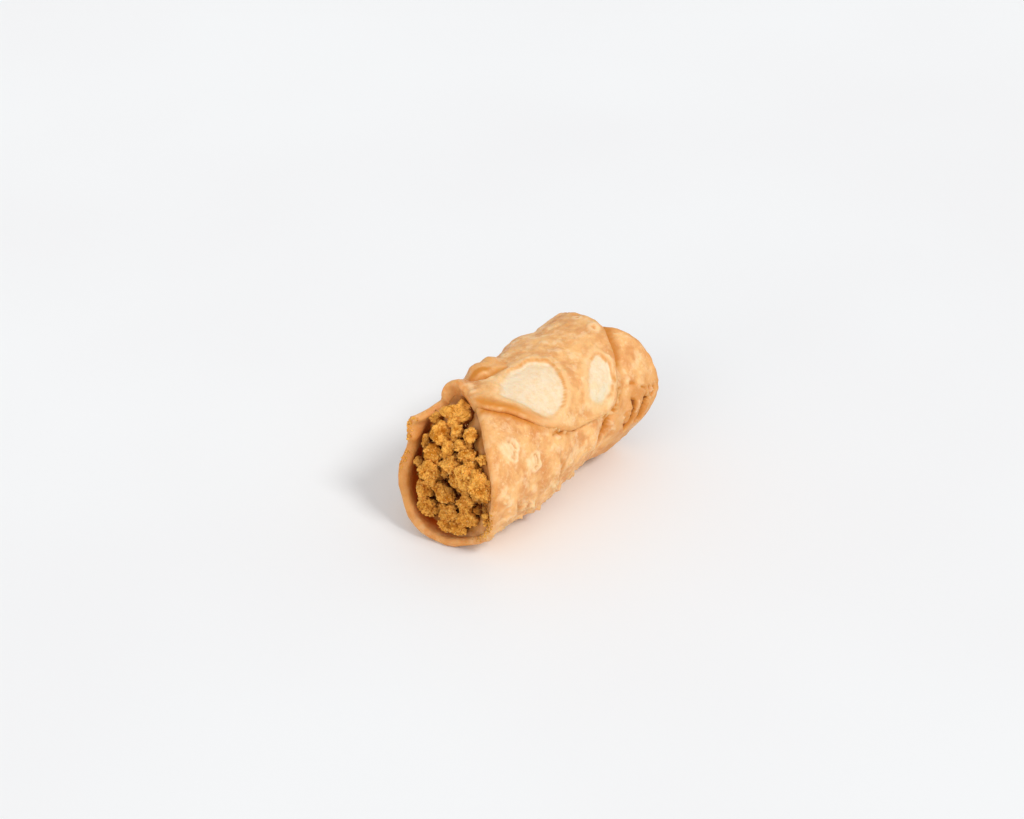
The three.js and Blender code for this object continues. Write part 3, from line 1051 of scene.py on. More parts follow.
@dataclass
class DoughShell:
    """The rolled sheet of dough with its blisters, creases, tears and pale patches."""

    form: TubeForm
    blisters: tuple[Blister, ...] = (
        Blister(-5.4, 332, 9, 8, 0, 2.4), Blister(-9.4, 335, 4.8, 4.2, 0, 0.9),
        Blister(-1.2, 335, 4.4, 4.2, 0, 1.1), Blister(17.4, 322, 8.4, 7, 0, 1.6),
        Blister(27, 326, 5, 8, 0, -0.8), Blister(35, 326, 7, 9, 0, -0.5),
        Blister(33.2, 370, 3, 3, 0, 0.6), Blister(8, 92, 5.5, 7, 15, 1.1),
        Blister(20.4, 94, 5.6, 9, -8, 1.2), Blister(-15.9, 130, 1.5, 1.6, 0, 1.1),
        Blister(-5, 128, 2, 2.4, 0, 0.8), Blister(2.6, 128, 1.8, 2, 0, 0.9),
        Blister(-25, 128, 1.6, 2, 0, 0.7), Blister(-30, 126, 1.4, 2, 0, 0.6),
        Blister(31, 94, 3.2, 7, -10, 0.5), Blister(-33, 108, 7, 8, 0, 0.7),
        Blister(-12, 232, 9, 8, 20, 1.5), Blister(17, 262, 8, 7, -15, 1.3),
        Blister(24, 214, 6, 6, 0, 1), Blister(-26, 262, 5, 6, 0, 0.9),
    )
    craters: tuple[Crater, ...] = (
        Crater(-28.8, 50, 3.8, 1.2), Crater(-21.4, 71, 3.3, 1.2), Crater(2, 283, 3.2, 0.9),
    )
    pocks: tuple[Pock, ...] = (
        Pock(4.3, 337, 1.6, 0.25), Pock(32, 372, 2.6, 0.4), Pock(33.8, 353, 2.2, 0.3),
        Pock(-2, 250, 2, 0.4), Pock(-22, 236, 2.2, 0.4),
    )
    patches: tuple[Patch, ...] = (
        Patch((
            (-16.8, 371), (-14.3, 386), (-11.8, 403), (-7, 409), (-0.7, 404), (4.3, 391),
            (6.1, 375), (3.3, 364), (-5, 360), (-12, 363),
        ), 0.95),
        Patch((
            (18.2, 395), (13.3, 404), (11.3, 414), (12.2, 422), (15.1, 425), (18.9, 421),
            (22.1, 415), (24.2, 402), (22.5, 393),
        ), 0.7),
    )
    creases: tuple[Crease, ...] = (
        Crease((-14.5, 340), (-11.5, 346), 1.1, 1.3), Crease((-11.5, 347), (-3.5, 350), 1.2, 0.8),
        Crease((3, 303), (15, 306), 3.0, 0.5), Crease((31, 67), (33.4, 70), 0.8, 1.0),
        Crease((39.6, 82), (39.2, 91), 0.6, 1.1), Crease((-9.6, 62), (-5.6, 65), 0.7, 1.0),
        Crease((-3.4, 66), (1.4, 71), 0.6, 1.0), Crease((3.4, 71), (5.4, 73), 0.6, 1.0),
        Crease((30.8, 84), (28.6, 100), 0.5, 0.6), Crease((-1.2, 118), (-0.4, 142), 0.9, 1.2),
        Crease((-22, 116), (-20.8, 140), 0.8, 0.8), Crease((35.4, 76), (37.4, 80), 0.5, 0.9),
        Crease((24.8, 98), (27.4, 108), 0.8, 1.3), Crease((41.8, 85), (40.6, 92), 0.6, 1.2),
        Crease((-16, 320), (-14.4, 337), 1.0, 1.3),
    )
    gashes: tuple[Gash, ...] = (
        Gash((17.6, 80), (12.6, 108), 2.6, 1.8), Gash((26, 107), (29.2, 80), 4.2, 3.1),
        Gash((38.2, 89), (32.4, 108), 3.4, 3.1), Gash((-30.4, 119), (-31.6, 96), 5.5, 0.8),
        Gash((-9.4, 124), (-9.8, 84), 6.5, 1.0), Gash((-10.4, 92), (-7.4, 60), 2.5, 0.25),
        Gash((22, 250), (30, 228), 3.0, 1.5), Gash((-20, 205), (-8, 214), 2.6, 1.1),
    )
    torn: tuple[Crease, ...] = (
        Crease((24.4, 88), (23.4, 100), 0.8, -0.4), Crease((20.6, 388), (26.6, 398), 0.5, -0.3),
        Crease((26.6, 398), (25.4, 412), 0.5, -0.3), Crease((42.6, 80), (39, 87), 0.6, -0.8),
        Crease((39, 87), (35.4, 94), 0.7, -0.8), Crease((35.4, 94), (32, 100), 0.7, -0.8),
        Crease((32.4, 86), (30, 96), 0.6, -0.5), Crease((-7.4, 57), (-8.7, 65), 0.9, -1.2),
        Crease((-5.2, 62), (7.6, 73), 0.5, -0.35), Crease((17, 86), (19, 96), 1.0, -0.4),
        Crease((-37.4, 80), (-36.6, 90), 1.2, -0.6), Crease((-24.6, 104), (-23, 112), 1.0, -1.0),
        Crease((-13.4, 106), (-11.4, 112), 0.8, -1.0), Crease((38, 27), (40.8, 38), 0.6, -0.4),
        Crease((35, 6), (38.4, 12), 0.9, -0.4),
    )  # raised edges of torn dough, pale and rough
    swell: Layers = ((0.3, 9.0, 0), (0.26, 3.6, 2), (0.17, 1.7, 3))
    warp: Layers = ((0.45, 1.6, 4), (0.6, 4.0, 6))  # shifts marks, so that they aren't regular
    ragged: Layers = ((0.45, 4.5, 9), (0.3, 1.3, 10))  # shifts the front and back edges
    small_blisters: int = 200
    fleck_every: int = 3  # every third small blister is pale
    deepest: float = 1.4  # past it a hollow is held back, so that no gash goes through the dough
    roll: float = 3.6  # how much thicker the dough is where its front edge is rolled over
    roll_reach: float = 8.0  # how far from the edge it is
    rim_swell: float = 0.9  # the same for the thicker stretch of the front rim
    rim_reach: float = 9.0
    seam_depth: float = 0.8  # of the hollow beside the flap's rear edge
    seed: int = 5

    def scattered(self) -> list[Blister]:
        """Draws the small blisters all over the dough.

        Returns:
            The blisters.
        """
        random_from = random.Random(self.seed)
        found: list[Blister] = []
        while len(found) < self.small_blisters:
            wrap = random_from.uniform(self.form.wrap_start, self.form.wrap_tip)
            front, back = float(self.form.front(wrap)), float(self.form.back(wrap))
            x = random_from.uniform(front + 2, back - 2)
            wide = random_from.uniform(0.8, 2.2)
            long = wide * random_from.uniform(0.9, 1.6)
            turn = random_from.uniform(0, 180)
            found.append(Blister(x, wrap, long, wide, turn, 0.14 * wide))
        return found

    def beside_seam(self, x: Array, wrap: Array) -> Array:
        """The shallow hollow beside the flap's rear edge, near the top, as a share; its painted
        orange is shade.
        """
        behind = x - self.form.back(wrap + 360.0)
        return band(behind, -0.5, 0.8, 2.0, 5.5) * band(wrap, 2, 14, 40, 54)

    def orange_shade(self, x: Array, wrap: Array) -> Array:
        """Tells where painted shade makes the dough a deeper orange.

        Args:
            x: Where places on the dough are along the tube.
            wrap: Where they are round it.

        Returns:
            Painted shade, as a share: under the front lip, at a bubble's foot and over it, and in the
                seam hollow.
        """
        lip = band(x - self.form.front(wrap), 0.0, 1.0, 2.5, 5.0) * band(wrap, 354, 366, 398, 416)
        foot = np.hypot(0.35 * (x + 11), 1.3 * (wrap - 339 - 1.3 * (x + 11)) * MM_PER_DEGREE)
        bubble = np.hypot((x + 5.5) / 9, (wrap - 333) * MM_PER_DEGREE / 8)
        bubble_shade = 0.95 * ramp(foot, 1.9, 0.5) + 0.35 * ramp(bubble, 1.0, 0.5)
        return 0.75 * lip + bubble_shade + 0.85 * self.beside_seam(x, wrap)

    def rolled(self, at: Places) -> Array:
        """How much thicker the dough is inwards, in mm, where its front edge is rolled over."""
        return self.roll * band(at.wrap, 309, 320, 358, 372) * bulge(at.from_edge / self.roll_reach)

    def thick(self, wrap: Array) -> Array:
        """Where round the tube the front rim is a little thicker, as a share."""
        return band(wrap, 190, 225, 296, 312)

    def shade_beside_flap(self, x: Array, wrap: Array) -> Array:
        """Tells how close the first layer's places lie to the flap's edges, where painted shade lies.

        Args:
            x: Where places on the dough are along the tube.
            wrap: Where they are round it.

        Returns:
            A share, 0 where no flap lies above.
        """
        over = wrap + 360.0
        under = over <= self.form.wrap_tip
        ahead, behind = self.form.front(over) - x, x - self.form.back(over)
        close = ramp(np.maximum(ahead, behind), 3.6, 0.3) * (over > 368)
        return np.where(under & ((ahead > -2) | (behind > -2)), close, 0.0)

    def at_tip(self, x: Array, wrap: Array) -> Array:
        """Tells how close the first layer's places lie to the seam round the flap's tip.

        Args:
            x: Where places on the dough are along the tube.
            wrap: Where they are round it.

        Returns:
            A share for each place.
        """
        over = wrap + 360.0
        beyond = (over - self.form.wrap_tip) * MM_PER_DEGREE
        gap = np.maximum(self.form.front(over) - x, x - self.form.back(over))
        return ramp(over, 404, 414) * band(np.maximum(gap, beyond), -1.5, 0.0, 0.3, 2.4)

    def crust(self, x: Array, wrap: Array, smooth: Array, broken: Array) -> Array:
        """The rough crust low on the -Y side of the front half, as a share.

        Args:
            x: Where places on the dough are along the tube.
            wrap: Where they are round it.
            smooth: The same places on the tube's smooth form, one row each.
            broken: Fine noise that breaks the ridges up.

        Returns:
            The share at each place.
        """
        low = band(wrap, 84, 100, 134, 156) * ramp(x, 20, 0)
        ridges = ramp(np.abs(noise_at(smooth, 2.4, seed=11) + 0.3 * broken), 0.2, 0.02)
        return low * ridges * ramp(noise_at(smooth, 5.0, seed=13), -0.25, 0.2)

    def skin(self, at: Places, small: Sequence[Blister]) -> Skin:
        """Works out the relief of the dough and what its colours go by.

        Args:
            at: The places of the sheet's points.
            small: The small blisters.

        Returns:
            What shows at each point.
        """
        x, wrap = at.x, at.wrap
        smooth = on_tube(x, wrap, self.form.radius(x, wrap) + 2.0 * ramp(wrap, 320, 348))
        warp = layered_noise(smooth, self.warp)
        broken = noise_at(smooth, 1.1, seed=12)
        torn_x, burst_x = x + 0.8 * warp, x + 0.2 * warp
        clusters = ramp(noise_at(smooth, 11.0, seed=7), -0.2, 0.3)
        bubbles = np.clip(grains_at(smooth, 3.2), 0.0, 1.0) * clusters
        crust = self.crust(x, wrap, smooth, broken)
        relief = raised_by(self.blisters, x, wrap)
        torn = raised_by(self.torn, torn_x, wrap) * (0.2 + 1.2 * ramp(broken, -0.25, 0.35))
        cuts = raised_by(self.creases + self.gashes, torn_x, wrap)
        outs = [patch.distance(x, wrap) + warp for patch in self.patches]
        pale = sum(patch.pale(out, x) for patch, out in zip(self.patches, outs))
        edged = sum(patch.torn_edge(out, x) for patch, out in zip(self.patches, outs))
        seam = self.at_tip(x, wrap)
        joined = ramp(broken + 0.3 * warp, -0.3, 0.15)
        opened = seam * (1.0 - joined) * ramp(wrap, 56, 62)

        outer = relief + cuts + torn + 0.6 * crust + 0.6 * seam * joined - 0.4 * opened
        outer += raised_by(self.craters, burst_x, wrap) + raised_by(self.pocks, torn_x, wrap)
        outer += sum(patch.height(out, x) for patch, out in zip(self.patches, outs))
        outer -= self.seam_depth * self.beside_seam(x, wrap)
        fine = raised_by(small, x, wrap) + 0.32 * bubbles + layered_noise(smooth, self.swell)
        outer += fine * (1.0 - 0.65 * np.clip(pale, 0, 1))
        too_deep = np.maximum(-self.deepest - outer, 0.0)
        outer += too_deep - 0.5 * np.tanh(too_deep / 0.5)
        return Skin(
            smooth=smooth,
            outer=outer,
            relief=relief,
            bubbles=bubbles,
            crust=crust,
            torn=torn,
            cuts=cuts,
            pale=pale,
            ring=sum(band(out, 0.4, 1.6, 1.8, 4.0) for out in outs),
            edged=edged * (0.5 + 0.5 * ramp(broken, -0.3, 0.25)),
            discs=sum(item.disc(burst_x, wrap) for item in self.craters),
            flakes=sum(item.flake(burst_x, wrap) for item in self.craters),
            burst=sum(item.crescent(burst_x, wrap) for item in self.craters),
            rings=sum(item.ring(torn_x, wrap) for item in self.pocks),
            pits=sum(item.pit(torn_x, wrap) for item in self.pocks),
            seam=seam,
            joined=joined,
            open=opened,
            broken=broken,
        )

    def radius(self, at: Places, skin: Skin) -> Array:
        """Works out how far the dough's points lie from the tube's axis.

        Args:
            at: The places of the sheet's points.
            skin: What shows at each point.

        Returns:
            The radius of each point.
        """
        x, wrap, form = at.x, at.wrap, self.form
        middle = form.radius(x, wrap) + form.lift(wrap) + form.flare(x, wrap) - DOUGH / 2
        uneven = 0.25 * noise_at(skin.smooth, 5.0, seed=8) * at.full
        swell = self.rim_swell * self.thick(wrap) * bulge(at.from_edge / self.rim_reach)
        inner = np.where(at.side < 0, uneven - self.rolled(at) - swell, 0.0)
        outer = np.where(at.side > 0, skin.outer * at.full, 0.0)
        return middle + at.side * at.full * DOUGH / 2 + outer + inner

    def attributes(self, at: Places, skin: Skin, flecks: Sequence[Blister]) -> dict[str, Array]:
        """Works out what the dough's colours go by.

        Args:
            at: The places of the sheet's points.
            skin: What shows at each point.
            flecks: The small blisters that are pale.

        Returns:
            The material's shares at each point, by name.
        """
        x, wrap = at.x, at.wrap
        rim = ramp(np.where(at.side < 0, 0.0, at.near), 2.2, 0.0)
        flecked = sum(item.height(x, wrap) / item.high for item in flecks)
        # painted shade on the lower side of the rear end, which faces away from the light
        low_end_shade = ramp(x, 12, 22) * band(wrap, 60, 84, 130, 160)
        wall = np.minimum(ramp(at.near, 0.5, 4.2), ramp(self.rolled(at), 1.6, 0.2))
        return {
            "raised": 0.5 * ramp(skin.relief, 0.2, 1.6)
            + 0.7 * (skin.bubbles + skin.ring)
            + 0.2 * ramp(wrap, 340, 358),
            "fleck": 0.5 * ramp(flecked, 0.2, 1.0)
            + 0.25 * skin.ring
            + 0.55 * ramp(skin.torn, 0.1, 0.5)
            + skin.discs * (0.5 + 0.45 * ramp(skin.broken, -0.4, 0.4))
            + 0.4 * skin.flakes
            + 0.6 * skin.rings
            + 0.25 * skin.seam * skin.joined
            + 0.5 * skin.crust,
            # painted glow on the rims; painted shade beside the flap, in creases and in burst
            # blisters; patch edges fried darker
            "orange": 0.4 * rim
            + 0.9 * self.shade_beside_flap(x, wrap) * (1.0 - 0.7 * skin.seam)
            + 0.45 * low_end_shade
            + 0.5 * skin.edged
            + 0.8 * ramp(-skin.cuts, 0.2, 1.0)
            + 0.7 * ramp(skin.burst, 0.05, 0.6)
            + self.orange_shade(x, wrap),
            # painted shade in creases, gashes, craters, pits and the open seam; real browning on
            # patch edges and the thick rim
            "browned": ramp(-skin.cuts, 0.7, 2.3)
            + 0.45 * ramp(-skin.cuts, 0.5, 1.5) * ramp(x, 22, 27)
            + 0.3 * ramp(skin.burst, 0.3, 1.0)
            + 0.2 * skin.pits
            + 0.5 * skin.open
            + 0.22 * skin.edged
            + 0.22 * rim * self.thick(wrap),
            "pale": skin.pale * (at.side > 0),
            # painted shade on the inner wall, full away from the rim and the rolled edge
            "inside": (at.side < 0) * wall * (1.0 - 0.4 * ramp(wrap, 284, 298)),
        }

    def build(self, material: bpy.types.Material) -> None:
        """Rolls the sheet up.

        Args:
            material: The finish of the dough.
        """
        sheet = DoughSheet(self.form)
        flat = sheet.cut()
        at = sheet.places(flat_points(flat))
        small = self.scattered()
        skin = self.skin(at, small)
        radius = self.radius(at, skin)
        ragged = layered_noise(skin.smooth, self.ragged)
        at = replace(at, x=at.x + ragged * ramp(at.near, 3.0, 0.0))
        points = on_tube(at.x, at.wrap, radius)
        shares = self.attributes(at, skin, small[:: self.fleck_every])
        finish_piece("dough_shell", flat, points, shares, material, ["shell"])


@dataclass(frozen=True)
class Lump:
    """A lump of crumb on a heap: its middle across the tube, its size and how far it stands out."""

    y: float
    z: float
    wide: float
    tall: float
    proud: float = 0.0


@dataclass(frozen=True)
class HeapForm:
    """One end of the food: its surface in the middle and, by angle, at the dough."""

    outward: int
    middle: float
    edge: Curve

    def surface(self, angle: Array, out: Array) -> Array:
        """x of the heap's surface at an angle and a distance from the axis."""
        share = (out / HOLLOW_RADIUS) ** 2
        return self.middle + (self.edge(angle) - self.middle) * share


@dataclass
class CreamFilling:
    """The cream that fills the tube, with a smeared end behind each heap of crumbs."""

    form: TubeForm
    front: HeapForm
    back: HeapForm
    subdivisions: int = 6
    cap_share: float = 0.3  # of the way from one end's middle to the other's, along the outside
    depth: float = 4.0  # of the cream behind the heap's surface in the middle
    depth_at_dough: Curve = Curve((
        (0, 4), (30, 1.8), (60, 0.9), (95, 0.9), (125, 1.6), (160, 2.4), (200, 4), (230, 5.5),
        (270, 6.5), (320, 8), (345, 8), (360, 4),
    ))  # of its rim, by angle
    pressed: float = 0.3  # how far it is pressed into the dough's unevenness
    folds: Layers = ((0.9, 5.5, 3), (0.35, 2.2, 5))

    def end(self, heap: HeapForm, angle: Array, out: Array) -> Array:
        """x of the cream's end behind a heap, at an angle and a distance from the axis.

        Args:
            heap: The heap's form.
            angle: Where places are round the axis, in degrees.
            out: How far from it they are.

        Returns:
            x at each place.
        """
        rise = ramp(out / HOLLOW_RADIUS, 0.55, 0.95)
        depth = self.depth + (self.depth_at_dough(angle) - self.depth) * rise
        return heap.surface(angle, out) - heap.outward * depth

    def build(self, material: bpy.types.Material) -> None:
        """Shapes the filling from a ball.

        Args:
            material: The finish of the cream.
        """
        ball = bmesh.new()
        bmesh.ops.create_icosphere(ball, subdivisions=self.subdivisions, radius=1.0)
        unit = flat_points(ball)
        angle = np.degrees(np.arctan2(-unit[:, 1], unit[:, 2])) % 360.0
        along = 1.0 - np.arccos(np.clip(unit[:, 0], -1.0, 1.0)) / math.pi  # 0 at the front
        cap = self.cap_share
        out_share = np.clip(np.minimum(along, 1.0 - along) / cap, 0.0, 1.0)
        across = HOLLOW_RADIUS * np.sin(out_share * math.pi / 2)
        ends = [self.end(heap, angle, across) for heap in (self.front, self.back)]
        x = ends[0] + (ends[1] - ends[0]) * ramp((along - cap) / (1 - 2 * cap), 0.0, 1.0)
        wall = self.form.hollow(x, angle) + self.pressed
        radius = np.where(out_share < 1.0, across * wall / HOLLOW_RADIUS, wall)
        points = on_tube(x, angle, radius)
        inward = ramp(out_share, 1.0, 0.85) * (1 - 2 * (along > 0.5))
        points[:, 0] += layered_noise(points, self.folds) * inward
        finish_piece("cream_filling", ball, points, {}, material, ["filling"])


Ball = tuple[Vector, Vector, int]  # middle, size and number of subdivisions


@dataclass
class Crumbs:
    """Joined crumbs: their mesh, and for each of its points the place, crack and tint."""

    mesh: bmesh.types.BMesh
    points: Array  # mm, in the tube's frame
    cracks: Array  # how deep in a crack, as a share
    tints: Array  # how golden, as a share


@dataclass
class CrumbHeap:
    """A heap of biscuit crumbs at one end: large lumps, bits between them and loose grains."""

    name: str
    node: str
    form: TubeForm
    end: HeapForm
    lumps: tuple[Lump, ...]
    seed: int
    finest: int = 6  # subdivisions of the largest lumps
    largest: int = 4  # how many they are
    lump_detail: int = 5  # subdivisions of the others
    bit_detail: int = 4
    buried: float = 0.22  # how deep a lump's middle lies behind the surface, for its depth
    plump: float = 0.84  # size of a lump before it is made uneven
    uneven: Layers = ((0.32, 0.9, 0), (0.24, 0.4, 0))
    bits: int = 84
    grains: int = 900
    dust: int = 6000
    strewn: int = 0  # grains on the dough's rim in front of the heap
    strewn_at: Stations = ((302, 5), (118, 9), (136, 8), (108, 22), (274, 8))  # angle and spread
    coarse: float = 1.5  # width of the grains that a lump is pressed from
    fine: float = 0.62
    bit_sizes: tuple[float, float] = (2.0, 4.4)
    bit_depths: tuple[float, float] = (2.2, 4.4)  # of their middles behind the heap's surface
    grain_sizes: tuple[float, float] = (0.7, 1.5)
    dust_sizes: tuple[float, float] = (0.28, 0.7)
    strewn_sizes: tuple[float, float] = (0.25, 1.0)
    off_wall: float = 2.6  # least distance of a bit's middle from the hollow's wall
    clear: float = 0.2  # least gap between crumbs and dough

    def place(self, y: float, z: float, deeper: float) -> Vector:
        """A point on the heap's surface, or that much behind it, in the tube's frame.

        Args:
            y: Where it is across the tube.
            z: Its height.
            deeper: How far behind the surface it is.

        Returns:
            The point.
        """
        out = math.hypot(y, z - AXIS_HEIGHT)
        x = float(self.end.surface(angle_of(y, z), out)) - self.end.outward * deeper
        return Vector((x, y, z))

    def rough_balls(self, balls: Sequence[Ball], shake: random.Random) -> Crumbs:
        """Turns balls into rough lumps pressed from grains.

        Args:
            balls: The balls.
            shake: The stream of random numbers.

        Returns:
            The joined lumps.
        """
        mesh = bmesh.new()
        placed, cracks, tints = [], [], []
        for middle, size, subdivisions in balls:
            start = len(mesh.verts)
            turn = Matrix.Rotation(shake.uniform(0, math.tau), 4, "X")
            bmesh.ops.create_icosphere(mesh, subdivisions=subdivisions, radius=1.0, matrix=turn)
            mesh.verts.ensure_lookup_table()
            unit = np.array([vert.co for vert in mesh.verts[start:]])
            shift = np.array([shake.uniform(-50, 50) for _ in range(3)])
            half = np.array(size) / 2
            uneven = self.plump + layered_noise(unit + shift, self.uneven)
            tilt = np.array(Euler([shake.uniform(0, math.tau) for _ in range(3)]).to_matrix())
            blocky = (np.abs(unit @ tilt) ** 4).sum(axis=1) ** -0.25
            points = unit * (blocky * uneven)[:, None] * half + np.array(middle)
            small = min(1.0, float(half.mean()) / 2.2)
            coarse = grains_at(points, self.coarse * (0.6 + 0.4 * small))
            fine = 0.22 * grains_at(points, self.fine) + 0.24 * noise_at(points, 0.55, seed=2)
            height = small * (0.22 * coarse + fine)
            placed.append(points + unit * height[:, None])
            # where the cracks between grains get painted shade
            cracks.append(np.clip(-coarse, 0.0, 1.0))
            tints.append(np.full(len(points), shake.uniform(0.0, 0.7)))
        return Crumbs(mesh, *(np.concatenate(each) for each in (placed, cracks, tints)))

    def scatter(self, places: Array, sizes: Array, subdivisions: int, seed: int) -> Crumbs:
        """Puts an uneven grain at each place.

        Args:
            places: Their middles in mm, one row each.
            sizes: Their widths in mm.
            subdivisions: Of the ball that each is made from.
            seed: Of their uneven shapes.

        Returns:
            The joined grains.
        """
        stream = np.random.default_rng(seed)
        one = bmesh.new()
        bmesh.ops.create_icosphere(one, subdivisions=subdivisions, radius=0.5)
        unit = flat_points(one)
        faces = np.array([[vert.index for vert in face.verts] for face in one.faces])
        one.free()
        uneven = stream.uniform(0.62, 1.25, (len(places), len(unit), 1))
        stretch = stream.uniform(0.7, 1.3, (len(places), 1, 3))
        points = places[:, None] + unit[None] * uneven * stretch * sizes[:, None, None]
        turned = faces[None] + len(unit) * np.arange(len(places))[:, None, None]
        joined = bpy.data.meshes.new("grains")
        joined.from_pydata(points.reshape(-1, 3), [], turned.reshape(-1, 3).tolist())
        mesh = bmesh.new()
        mesh.from_mesh(joined)
        bpy.data.meshes.remove(joined)
        tints = np.repeat(stream.random(len(places)), len(unit))
        return Crumbs(mesh, points.reshape(-1, 3), 0.0 * tints, tints)

    def on_rim(self, stream: np.random.Generator) -> Array:
        """Draws places on the rounded rim of the dough, most of them near a few angles.

        Args:
            stream: The stream of random numbers.

        Returns:
            The places, one row each.
        """
        place = stream.integers(0, len(self.strewn_at), self.strewn)
        middle, spread = np.array(self.strewn_at)[place].T
        angle = middle + spread * stream.standard_normal(self.strewn)
        half = DOUGH / 2
        aside = stream.uniform(-1.0, 0.55, self.strewn)
        x = self.form.front(angle) + half * (1.0 - np.sqrt(1.0 - aside**2))
        inside = 3.0 * (aside < -0.7) * stream.random(self.strewn) ** 2
        out = self.form.hollow(x, angle) + half * (1.0 + aside)
        turn = np.radians(angle)
        places = [x + inside, -out * np.sin(turn), AXIS_HEIGHT + out * np.cos(turn)]
        return np.stack(places, axis=-1)

    def keep_inside(self, points: Array) -> Array:
        """Draws points that would cross the dough back to its inside.

        Args:
            points: The points in the tube's frame, one row each.

        Returns:
            The points in the tube's frame.
        """
        y, z = points[:, 1], points[:, 2] - AXIS_HEIGHT
        out = np.hypot(y, z)
        most = self.form.hollow(points[:, 0], angle_of(y, points[:, 2])) - self.clear
        share = np.where(out > most, most / np.maximum(out, 1e-6), 1.0)
        return np.stack([points[:, 0], y * share, z * share + AXIS_HEIGHT], axis=-1)

    def finish(
        self, kind: str, crumbs: Crumbs, material: bpy.types.Material, held: bool = True
    ) -> None:
        """Finishes one kind of crumb as a piece of its own.

        Args:
            kind: The last word of its name.
            crumbs: The crumbs.
            material: Their finish.
            held: Whether they stay inside the dough.
        """
        placed = self.keep_inside(crumbs.points) if held else crumbs.points
        x, y, z = crumbs.points.T
        surface = self.end.surface(angle_of(y, z), np.hypot(y, z - AXIS_HEIGHT))
        # painted shade: the deeper behind the heap's surface, the darker
        sunk = ramp(self.end.outward * (surface - x), 0.3, 2.9)
        shares = {"crack": crumbs.cracks, "tint": crumbs.tints, "sunk": sunk}
        name, nodes = f"{self.name}_{kind}", [self.node]
        finish_piece(name, crumbs.mesh, placed - ORIGIN, shares, material, nodes)

    def lump_balls(self) -> list[Ball]:
        """Balls for the lumps, the largest first and the finest.

        Returns:
            The balls.
        """
        balls: list[Ball] = []
        for lump in sorted(self.lumps, key=lambda lump: -lump.wide * lump.tall):
            deep = 0.5 * (lump.wide + lump.tall)
            middle = self.place(lump.y, lump.z, self.buried * deep - lump.proud)
            detail = self.finest if len(balls) < self.largest else self.lump_detail
            balls.append((middle, Vector((deep, lump.wide, lump.tall)), detail))
        return balls

    def bit_balls(self, shake: random.Random) -> list[Ball]:
        """Balls for the bits that fill the heap between its lumps, from random numbers.

        Args:
            shake: The stream of random numbers.

        Returns:
            The balls.
        """
        balls: list[Ball] = []
        for _ in range(self.bits):
            angle = shake.uniform(0, math.tau)
            out = (HOLLOW_RADIUS - self.off_wall) * math.sqrt(shake.random())
            y, z = out * math.sin(angle), AXIS_HEIGHT + out * math.cos(angle)
            wide = shake.uniform(*self.bit_sizes)
            size = Vector((wide, wide * shake.uniform(0.8, 1.3), wide * shake.uniform(0.8, 1.3)))
            middle = self.place(y, z, shake.uniform(*self.bit_depths))
            balls.append((middle, size, self.bit_detail))
        return balls

    def build(self, material: bpy.types.Material) -> None:
        """Makes the heap's lumps, its bits and its loose grains.

        Args:
            material: The finish of the crumbs.
        """
        shake = random.Random(self.seed)
        lumps = self.rough_balls(self.lump_balls(), shake)
        bits = self.rough_balls(self.bit_balls(shake), shake)
        self.finish("lumps", lumps, material)
        self.finish("bits", bits, material)
        stream = np.random.default_rng(self.seed)
        surfaces = np.concatenate([lumps.points, bits.points])
        depth = self.end.outward * surfaces[:, 0]
        shown = surfaces[depth > np.quantile(depth, 0.25)]
        for kind, count, (low, high), detail in (
            ("grains", self.grains, self.grain_sizes, 2),
            ("dust", self.dust, self.dust_sizes, 1),
        ):
            places = shown[stream.integers(0, len(shown), count)]
            sizes = low + (high - low) * stream.random(count) ** 2
            self.finish(kind, self.scatter(places, sizes, detail, self.seed + detail), material)
        if self.strewn:
            low, high = self.strewn_sizes
            sizes = low + (high - low) * stream.random(self.strewn) ** 3
            grains = self.scatter(self.on_rim(stream), sizes, 1, self.seed)
            self.finish("strewn", grains, material, held=False)


# ---- Studio


def toward(turn: float, rise: float) -> Vector:
    """The direction at an azimuth and a height above the floor, both in degrees."""
    turn, rise = math.radians(turn), math.radians(rise)
    return Vector((math.sin(turn) * math.cos(rise), -math.cos(turn) * math.cos(rise), math.sin(rise)))


@dataclass(frozen=True)
class Sun:
    """A distant light: degrees to the right of the camera and above the floor, and its strength.

    A strength of 1 shows a white surface that faces it as white. Its apparent width in degrees
    gives soft shadows.
    """

    name: str
    aside: float
    rise: float
    strength: float
    spread: float


